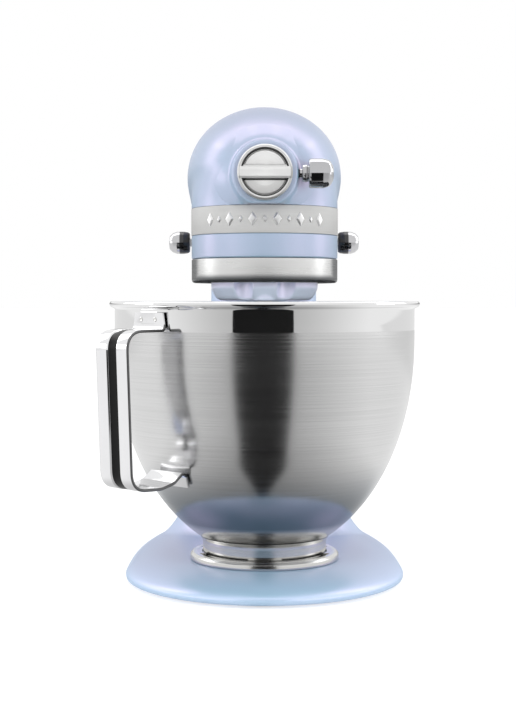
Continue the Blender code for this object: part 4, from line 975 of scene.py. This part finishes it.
def column_casting():
    top, edge = COLUMN_TOP, 1.2
    loops = [at_height(column_outline(SEAM, 0.5), SEAM)]
    loops.append(at_height(column_outline(SEAM + 0.4), SEAM + 0.4))
    heights = [SEAM + 3 + (PLATEAU + FLARE_RISE - SEAM - 3) * (i / 22) ** 1.2 for i in range(23)]
    heights += [180.0, HINGE_Z] + [HINGE_Z + KNUCKLE_R * sin(pi / 2 * i / 10) * 0.93 for i in range(1, 11)]
    heights = [z for z in heights if z < top - edge] + [top - edge]
    loops += [at_height(column_outline(z), z) for z in heights]
    for a in (pi / 6, pi / 3, pi / 2):
        loops.append(at_height(column_outline(top - edge, edge * (1 - cos(a))), top - edge + edge * sin(a)))
    made = solid("column_pedestal", loft(loops))
    cut(made, loft([at_height(column_outline(z, COLUMN_WALL), z) for z in (54, 75, 110, top - 9)]))
    join(made, crossways(KNUCKLE_R - 0.6, -28, 28, HINGE_Y, HINGE_Z))
    low, high = -LUG_HALF - 0.5, LUG_HALF + 0.5
    pocket = block((POST_X - 5, POST_Y - 2, top - 20), (POST_X + 5, POST_Y + 15.5, top + 5))
    cut(made, block((low, HINGE_Y - 13.5, HINGE_Z - 11.5), (high, HINGE_Y + 20, top + 5)), pocket)
    cut(made, block((POST_X - 4.5, POST_Y + 14, 213.6), (POST_X + 4.5, POST_Y + 20.5, 219.4)))
    cut(made, crossways(PIN_R + PIN_PLAY, -60, 60, HINGE_Y, HINGE_Z))
    even_normals(dress(made, "pedestal", BASE_PAINT_LIGHTENED, ["column_casting"], sharp=35))


def clamp_plate():
    corners = [(9.0, PLATE_LOW, 0), (PLATE_R - 0.2, PLATE_LOW, 0.5), (PLATE_R, PLATE_LOW + 1.2, 0.8)]
    corners += [(PLATE_R - 0.3, PLATE_TOP - 1.6, 1.2), (PLATE_R - 2.0, PLATE_TOP, 1.0), (48.4, PLATE_TOP, 0.3)]
    corners += [(48.4, PLATE_FLOOR, 0.3), (9.0, PLATE_FLOOR, 0)]
    made = solid("clamp_ring", hoop(corners, 160))
    lip = sector(45.2, 49.5, PLATE_TOP - 1.3, PLATE_TOP - 0.02, radians(32))
    join(made, *[spun(lip, quarter * pi / 2) for quarter in range(4)])
    dress(made, "pedestal", POLISHED, ["bowl_clamp_plate"], sharp=30)


# ---- bowl ----


def bowl_shell():
    heights = [FOOT_Z + (BOWL_ROUND_Z - FOOT_Z) * (i / 40) ** 1.35 for i in range(41)]
    outer = [(bowl_radius(z), z) for z in heights]
    inner = []
    for radius, z in reversed(outer):
        thick = BOWL_WALL * (1 + 0.6 * (BOWL_ROUND_Z - z) / BOWL_DEPTH)
        inner.append((radius - thick, z + BOWL_WALL * 0.5))
    turns = [pi * k / 12 for k in range(1, 11)]
    bead = [(RIM_R - RIM_BEAD + RIM_BEAD * sin(a), RIM_Z - RIM_BEAD * cos(a)) for a in turns]
    wall = BOWL_R - BOWL_WALL
    line = [(0, FOOT_Z + 0.5), (16.0, FOOT_Z), (30.0, FOOT_Z - 1.0), *outer]
    line += [(BOWL_R, 185.0), (BOWL_R, BOWL_TOP - 1.6), (BOWL_R + 0.2, BOWL_TOP - 0.7), *bead]
    line += [(wall + 0.7, RIM_Z + 2.0), (wall + 0.1, RIM_Z + 1.1), (wall, RIM_Z - 0.8), (wall, 186.0)]
    line += [*inner, (30.0, FOOT_Z + 1.2), (0, FOOT_Z + 2.6)]
    dress(solid("bowl_wall", turned(line, 256)), "bowl", BOWL, ["bowl_shell"], sharp=50)


def foot_ring():
    outer = [(46.6, FOOT_Z - 0.4, 0), (44.7, 29.6, 8.0), (44.4, 24.0, 8.0), (44.2, 20.8, 0.6)]
    outer += [(43.4, 19.6, 0.4), (43.4, 17.7, 0)]
    inner = [(radius - 2.2, height, fine) for radius, height, fine in reversed(outer)]
    made = solid("bowl_pedestal_ring", hoop(outer + inner, 200))
    lug = sector(42.5, 47.2, 17.75, 19.2, radians(22), 12)
    join(made, *[spun(lug, quarter * pi / 2) for quarter in range(4)])
    dress(made, "bowl", POLISHED, ["bowl_foot_ring"], sharp=30)


def strap_line():
    """Centre line of the handle's strap, as (distance from the bowl's axis, height)."""
    corners = [(108.9, 193.5, 0), (108.9, 187.0, 0), (108.9, 181.8, 4.0), (141.0, 181.5, 13.0)]
    corners += [(137.0, 78.0, 13.0), (112.0, 77.3, 14.0), (101.0, 80.0, 8.0), (93.2, 85.9, 2.2)]
    corners += [(89.45, 83.5, 2.2), (86.25, 76.0, 0)]
    line = fillet(corners, steps=14)
    even = []
    for (ax, az), (bx, bz) in zip(line, line[1:]):
        pieces = max(1, int(hypot(bx - ax, bz - az) / 4.0))
        even += [(ax + (bx - ax) * k / pieces, az + (bz - az) * k / pieces) for k in range(pieces)]
    return [Vector(p) for p in even + line[-1:]]


def handle():
    """Bent strap with eased edges and a shallow channel along its grip."""
    half_groove, thick, wide = 4.6, STRAP / 2, HANDLE_HALF
    corners = [(-wide, -thick, 0.8), (wide, -thick, 0.8), (wide, thick, 0.8)]
    corners += [(half_groove + 0.6, thick, 0.5), (half_groove - 0.4, 0, 0.8), (0.4 - half_groove, 0, 0.8)]
    corners += [(-half_groove - 0.6, thick, 0.5), (-wide, thick, 0.8)]
    section = fillet(corners, closed=True, steps=5)
    path = strap_line()
    reach = [0.0]
    for before, after in zip(path, path[1:]):
        reach.append(reach[-1] + (after - before).length)
    loops = []
    for i, point in enumerate(path):
        along = (path[min(i + 1, len(path) - 1)] - path[max(i - 1, 0)]).normalized()
        out = Vector((-along.y, along.x))
        depth = smoothstep((reach[i] - 22) / 14) * smoothstep((reach[-1] - 44 - reach[i]) / 14)
        narrow = 1 - 0.12 * smoothstep((12 - min(reach[i], reach[-1] - reach[i])) / 12)
        loop = []
        for t, h in section:
            if h > 0 or abs(t) < half_groove + 1:
                h = 1 - (1 - h) * depth if abs(t) < half_groove + 1 and h > -0.5 else h
            spot = point + out * h
            loop.append((spot.x, t * narrow, spot.y))
        loops.append(loop)
    made = solid("grip_strap", spun(loft(loops), HANDLE_ANGLE))
    dress(made, "bowl", STRAP_CHROME, ["bowl_handle"], sharp=50)
    dimple = fillet([(0, -0.2, 0), (1.7, -0.2, 0), (1.7, 0.12, 0.2), (1.1, 0.3, 0.3), (0, 0.12, 0)])
    dimple = facing(turned(dimple, 32), (1, 0, 0))
    welds = [moved(dimple, 109.9, t, 189.0) for t in (-7.0, 7.0)]
    welds.append(moved(spun(dimple, radians(22), "Y"), 88.9, -5.0, 79.9))
    made = solid("spot_welds", together([spun(weld, HANDLE_ANGLE) for weld in welds]))
    dress(made, "bowl", POLISHED)


# ---- beater ----


def beater():
    """Flat beater: a leaf-shaped frame with a spine and two slanted bars, as one soft-edged casting."""
    half, middle, rise, bar_width, count = 56.0, 108.0, 64.0, 9.0, 96
    outer, inner = [], []
    for i in range(count):
        x, z = power(cos(tau * i / count), 0.9), power(sin(tau * i / count), 0.85)
        taper = 1 - 0.18 * max(-z, 0.0)
        outer.append((half * x * taper, middle + rise * z))
        inner.append(((half - bar_width) * x * taper, middle + (rise - bar_width) * z))
    edges = ((outer, -4.0), (outer, 4.0), (inner, 3.0), (inner, -3.0))
    loops = [[(x, y, z) for x, z in line] for line, y in edges]
    made = solid("beater_casting", loft(loops, closed=True))
    join(made, block((-4, -3, 50), (4, 3, 168)))
    slat = block((-3.5, -2.8, -34), (3.5, 2.8, 34))
    join(made, *[moved(spun(slat, side * radians(48), "Y"), side * 28, 0, 104) for side in (-1, 1)])
    join(made, rod(10.0, 163.0, 198.0))
    cut(made, rod(BEATER_SHAFT_R + GAP, 174.0, 205.0))
    melted(made, 0.7, 5)
    shift(made, 0, -ORBIT, 0)
    dress(made, "beater", CAST, ["flat_beater"], sharp=60)


# ---- CAD nodes that stay ----

KEPT = [
    (STEEL, """clamp_screw_1 clamp_screw_2 clamp_screw_3 column_bolt_1 column_bolt_2 column_bolt_3
               column_bolt_4 hinge_pin end_cover_screw internal_ring_gear centre_shaft centre_gear
               bevel_ring_gear beater_shaft planet_pinion wheel_pinion hub_bevel_pinion
               hub_drive_shaft worm armature_shaft rotor_core speed_lever lock_lever"""),
    (BRONZE, "centre_shaft_bush hub_bearing motor_front_bearing motor_rear_bearing worm_wheel"),
    (COPPER, "field_stator commutator"),
    (RUBBER, "foot_front foot_front_left foot_front_right foot_rear_left foot_rear_right cord_gland"),
    (PLASTIC, "cooling_fan"),
    (CARBON, "brush_left brush_right"),
    (BOARD, "control_board"),
]


def kept_nodes():
    for material, names in KEPT:
        for name in names.split():
            for slot in frame["nodes"][name].material_slots:
                slot.material = material


# ---- studio, in metres ----

CAMERA_AT, CAMERA_DOWN, LENS = (-0.0047, -1.067, 0.202), radians(2.36), 70.0
FLAG_X, FLAG_Y, FLAG_HALF, FLAG_TOP = -0.004, -0.27, 0.06, 0.205
FLOOR_HALF, CARD_HALF, CARD_Z = 30.0, 29.0, 0.0006
STRIPE_EDGE, FRONT_DARK, FLOOR_WHITE = 0.012, 0.33, 1.06
ARCH_R, ARCH_Y, ARCH_Z, ARCH_LIGHT = 1.0, 0.36, 0.29, 1.5
SIDE_X, SIDE_Z, SIDE_LIGHT = 1.0, 0.31, 2.0
ROOM_LIGHT, LOW_BEHIND_DARK = 0.92, 0.7


def sheet(name, points, material):
    mesh = bpy.data.meshes.new(name)
    mesh.from_pydata(points, [], [tuple(range(len(points)))])
    mesh.materials.append(material)
    made = bpy.data.objects.new(name, mesh)
    bpy.context.scene.collection.objects.link(made)
    return made


def level_square(name, half, z, material):
    corners = ((-1, -1), (1, -1), (1, 1), (-1, 1))
    return sheet(name, [(x * half, y * half, z) for x, y in corners], material)


def hide_from(made, ray_kinds):
    for ray_kind in ray_kinds:
        setattr(made, f"visible_{ray_kind}", False)


def mirrored_only(made):
    """Leaves the object to reflections alone, as cards beside the camera are."""
    hide_from(made, ("camera", "diffuse", "shadow", "transmission", "volume_scatter"))


def floor():
    n = Nodes("studio_floor", Roughness=0.9, Emission_Strength=1.0, Specular_IOR_Level=0.1)
    cloud = n.noise(3.0, 2.0)
    n.look(Base_Color=n.blend(cloud, (0.59, 0.59, 0.59), (0.61, 0.61, 0.61)))
    n.look(Emission_Color=n.blend(cloud, (0.56, 0.56, 0.56), (0.58, 0.58, 0.58)))
    level_square("floor", FLOOR_HALF, 0.0, n.material)


def floor_card():
    """What reflections see of the floor: white at the sides, grey in front, with a black stripe ahead."""
    n = Nodes("graded_card", Roughness=1.0, Emission_Strength=1.0, Specular_IOR_Level=0.0,
              Base_Color=(0, 0, 0, 1))
    x, y, _ = n.axes()
    side, ahead = n.size(n.minus(x, FLAG_X)), n.minus(BOWL_Y * MM, y)
    far = n.distance(side, ahead)
    turn = n.most(n.plus(n.math("DIVIDE", ahead, far), 0.3), 0.0)
    grey = n.minus(FLOOR_WHITE, n.times(n.times(turn, turn), FRONT_DARK))
    # Painted shade: what reflections see of the floor darkens close to the bowl.
    grey = n.times(grey, n.range(far, 0.10, 0.28, 0.6, 1.0, smooth=True))
    grey = n.times(grey, n.range(y, 0.4, 1.6, 1.0, 0.8, smooth=True))
    stripe = n.times(n.range(far, 0.094, 0.175, 0.0, 0.27, smooth=True), ahead)
    edge = n.math("DIVIDE", n.minus(side, stripe), STRIPE_EDGE)
    lit = n.most(n.range(edge, 0.0, 1.0, 0.0, 1.0, smooth=True), n.under(ahead, 0.0))
    n.look(Emission_Color=n.blend(n.times(grey, lit), BLACK, (1.0, 1.0, 1.0)))
    mirrored_only(level_square("floor_card", CARD_HALF, CARD_Z, n.material))


def front_flag():
    """A black card in front of the mixer, which shows as a dark stripe down the bowl."""
    n = Nodes("black_card", Roughness=1.0, Specular_IOR_Level=0.0)
    n.look(Base_Color=n.blend(n.noise(4.0), BLACK, (0.018, 0.018, 0.018)))
    corners = ((-1, 0.0), (1, 0.0), (1, FLAG_TOP), (-1, FLAG_TOP))
    points = [(FLAG_X + side * FLAG_HALF, FLAG_Y, z) for side, z in corners]
    mirrored_only(sheet("front_flag", points, n.material))


def softbox(name, at, target, size, brightness, hidden_from):
    light = bpy.data.lights.new(name, "AREA")
    light.shape, light.size, light.size_y = "RECTANGLE", *size
    light.energy = brightness * size[0] * size[1] * pi
    made = bpy.data.objects.new(name, light)
    made.location = at
    made.rotation_euler = (Vector(target) - Vector(at)).to_track_quat("-Z", "Y").to_euler()
    hide_from(made, ("camera", hidden_from))
    bpy.context.scene.collection.objects.link(made)


def softboxes():
    """An arch over the mixer and low ones at its sides for broad highlights, and fills in front."""
    for i, degrees in enumerate((27, 58.5, 90, 121.5, 153)):
        turn = radians(degrees)
        at = (ARCH_R * cos(turn), ARCH_Y, ARCH_Z + ARCH_R * sin(turn))
        softbox(f"arch_{i}", at, (0, ARCH_Y, ARCH_Z), (0.56, 0.7), ARCH_LIGHT, "diffuse")
    softbox("front_fill", (0, -1.2, 0.9), (0, -0.1, 0.08), (1.6, 1.1), 1.2, "glossy")
    for side in (-1, 1):
        at = (side * SIDE_X, 0, SIDE_Z)
        softbox(f"side_{side}", at, (0, 0, SIDE_Z), (0.34, 0.18), SIDE_LIGHT, "diffuse")
        at = (side * 0.75, -0.65, 0.26)
        softbox(f"low_fill_{side}", at, (0, 0, 0.225), (0.5, 0.3), 7.8, "glossy")


def world():
    """White behind the mixer and even on it; reflections see it dark low behind."""
    made = bpy.data.worlds.new("studio")
    bpy.context.scene.world = made
    made.use_nodes = True
    made.node_tree.nodes.clear()
    n = Graph(made.node_tree, "Generated")

    def mixed(share, first, second):
        return n.feed(n.tree.nodes.new("ShaderNodeMixShader"), (share, first, second))

    _, forward, up = n.axes()
    behind = n.range(forward, 0.5, 0.9, 0.0, 1.0, smooth=True)
    low = n.range(up, 0.04, 0.14, 1.0, 0.0, smooth=True)
    dimmed = n.math("MULTIPLY_ADD", n.times(behind, low), -LOW_BEHIND_DARK, 1.0)
    seen, even, plain = (n.add("ShaderNodeBackground", Color=(1, 1, 1, 1), Strength=strength)
                         for strength in (dimmed, ROOM_LIGHT, 1.0))
    kind = n.tree.nodes.new("ShaderNodeLightPath").outputs
    room = mixed(kind["Is Diffuse Ray"], seen, even)
    out = n.tree.nodes.new("ShaderNodeOutputWorld").inputs[0]
    n.plug(out, mixed(kind["Is Camera Ray"], room, plain))


def camera():
    lens = bpy.data.cameras.new("camera")
    lens.lens, lens.sensor_width = LENS, 36.0
    made = bpy.data.objects.new("camera", lens)
    made.location = CAMERA_AT
    made.rotation_euler = (pi / 2 - CAMERA_DOWN, 0, 0)
    bpy.context.scene.collection.objects.link(made)
    bpy.context.scene.camera = made


def main():
    camera()
    floor()
    world()
    floor_card()
    front_flag()
    softboxes()
    bpy.context.scene.view_settings.view_transform = "Standard"
    base_casting()
    column_casting()
    clamp_plate()
    motor_housing()
    lower_gearcase()
    end_cover()
    trim_band()
    drip_ring()
    planetary()
    hub_cover()
    attachment_knob()
    side_knob("lock_grip", -1, "head_lock", "lock_knob")
    side_knob("speed_grip", 1, "speed_control", "speed_knob")
    brush_caps()
    bowl_shell()
    foot_ring()
    handle()
    beater()
    kept_nodes()


main()
bpy.context.view_layer.update()
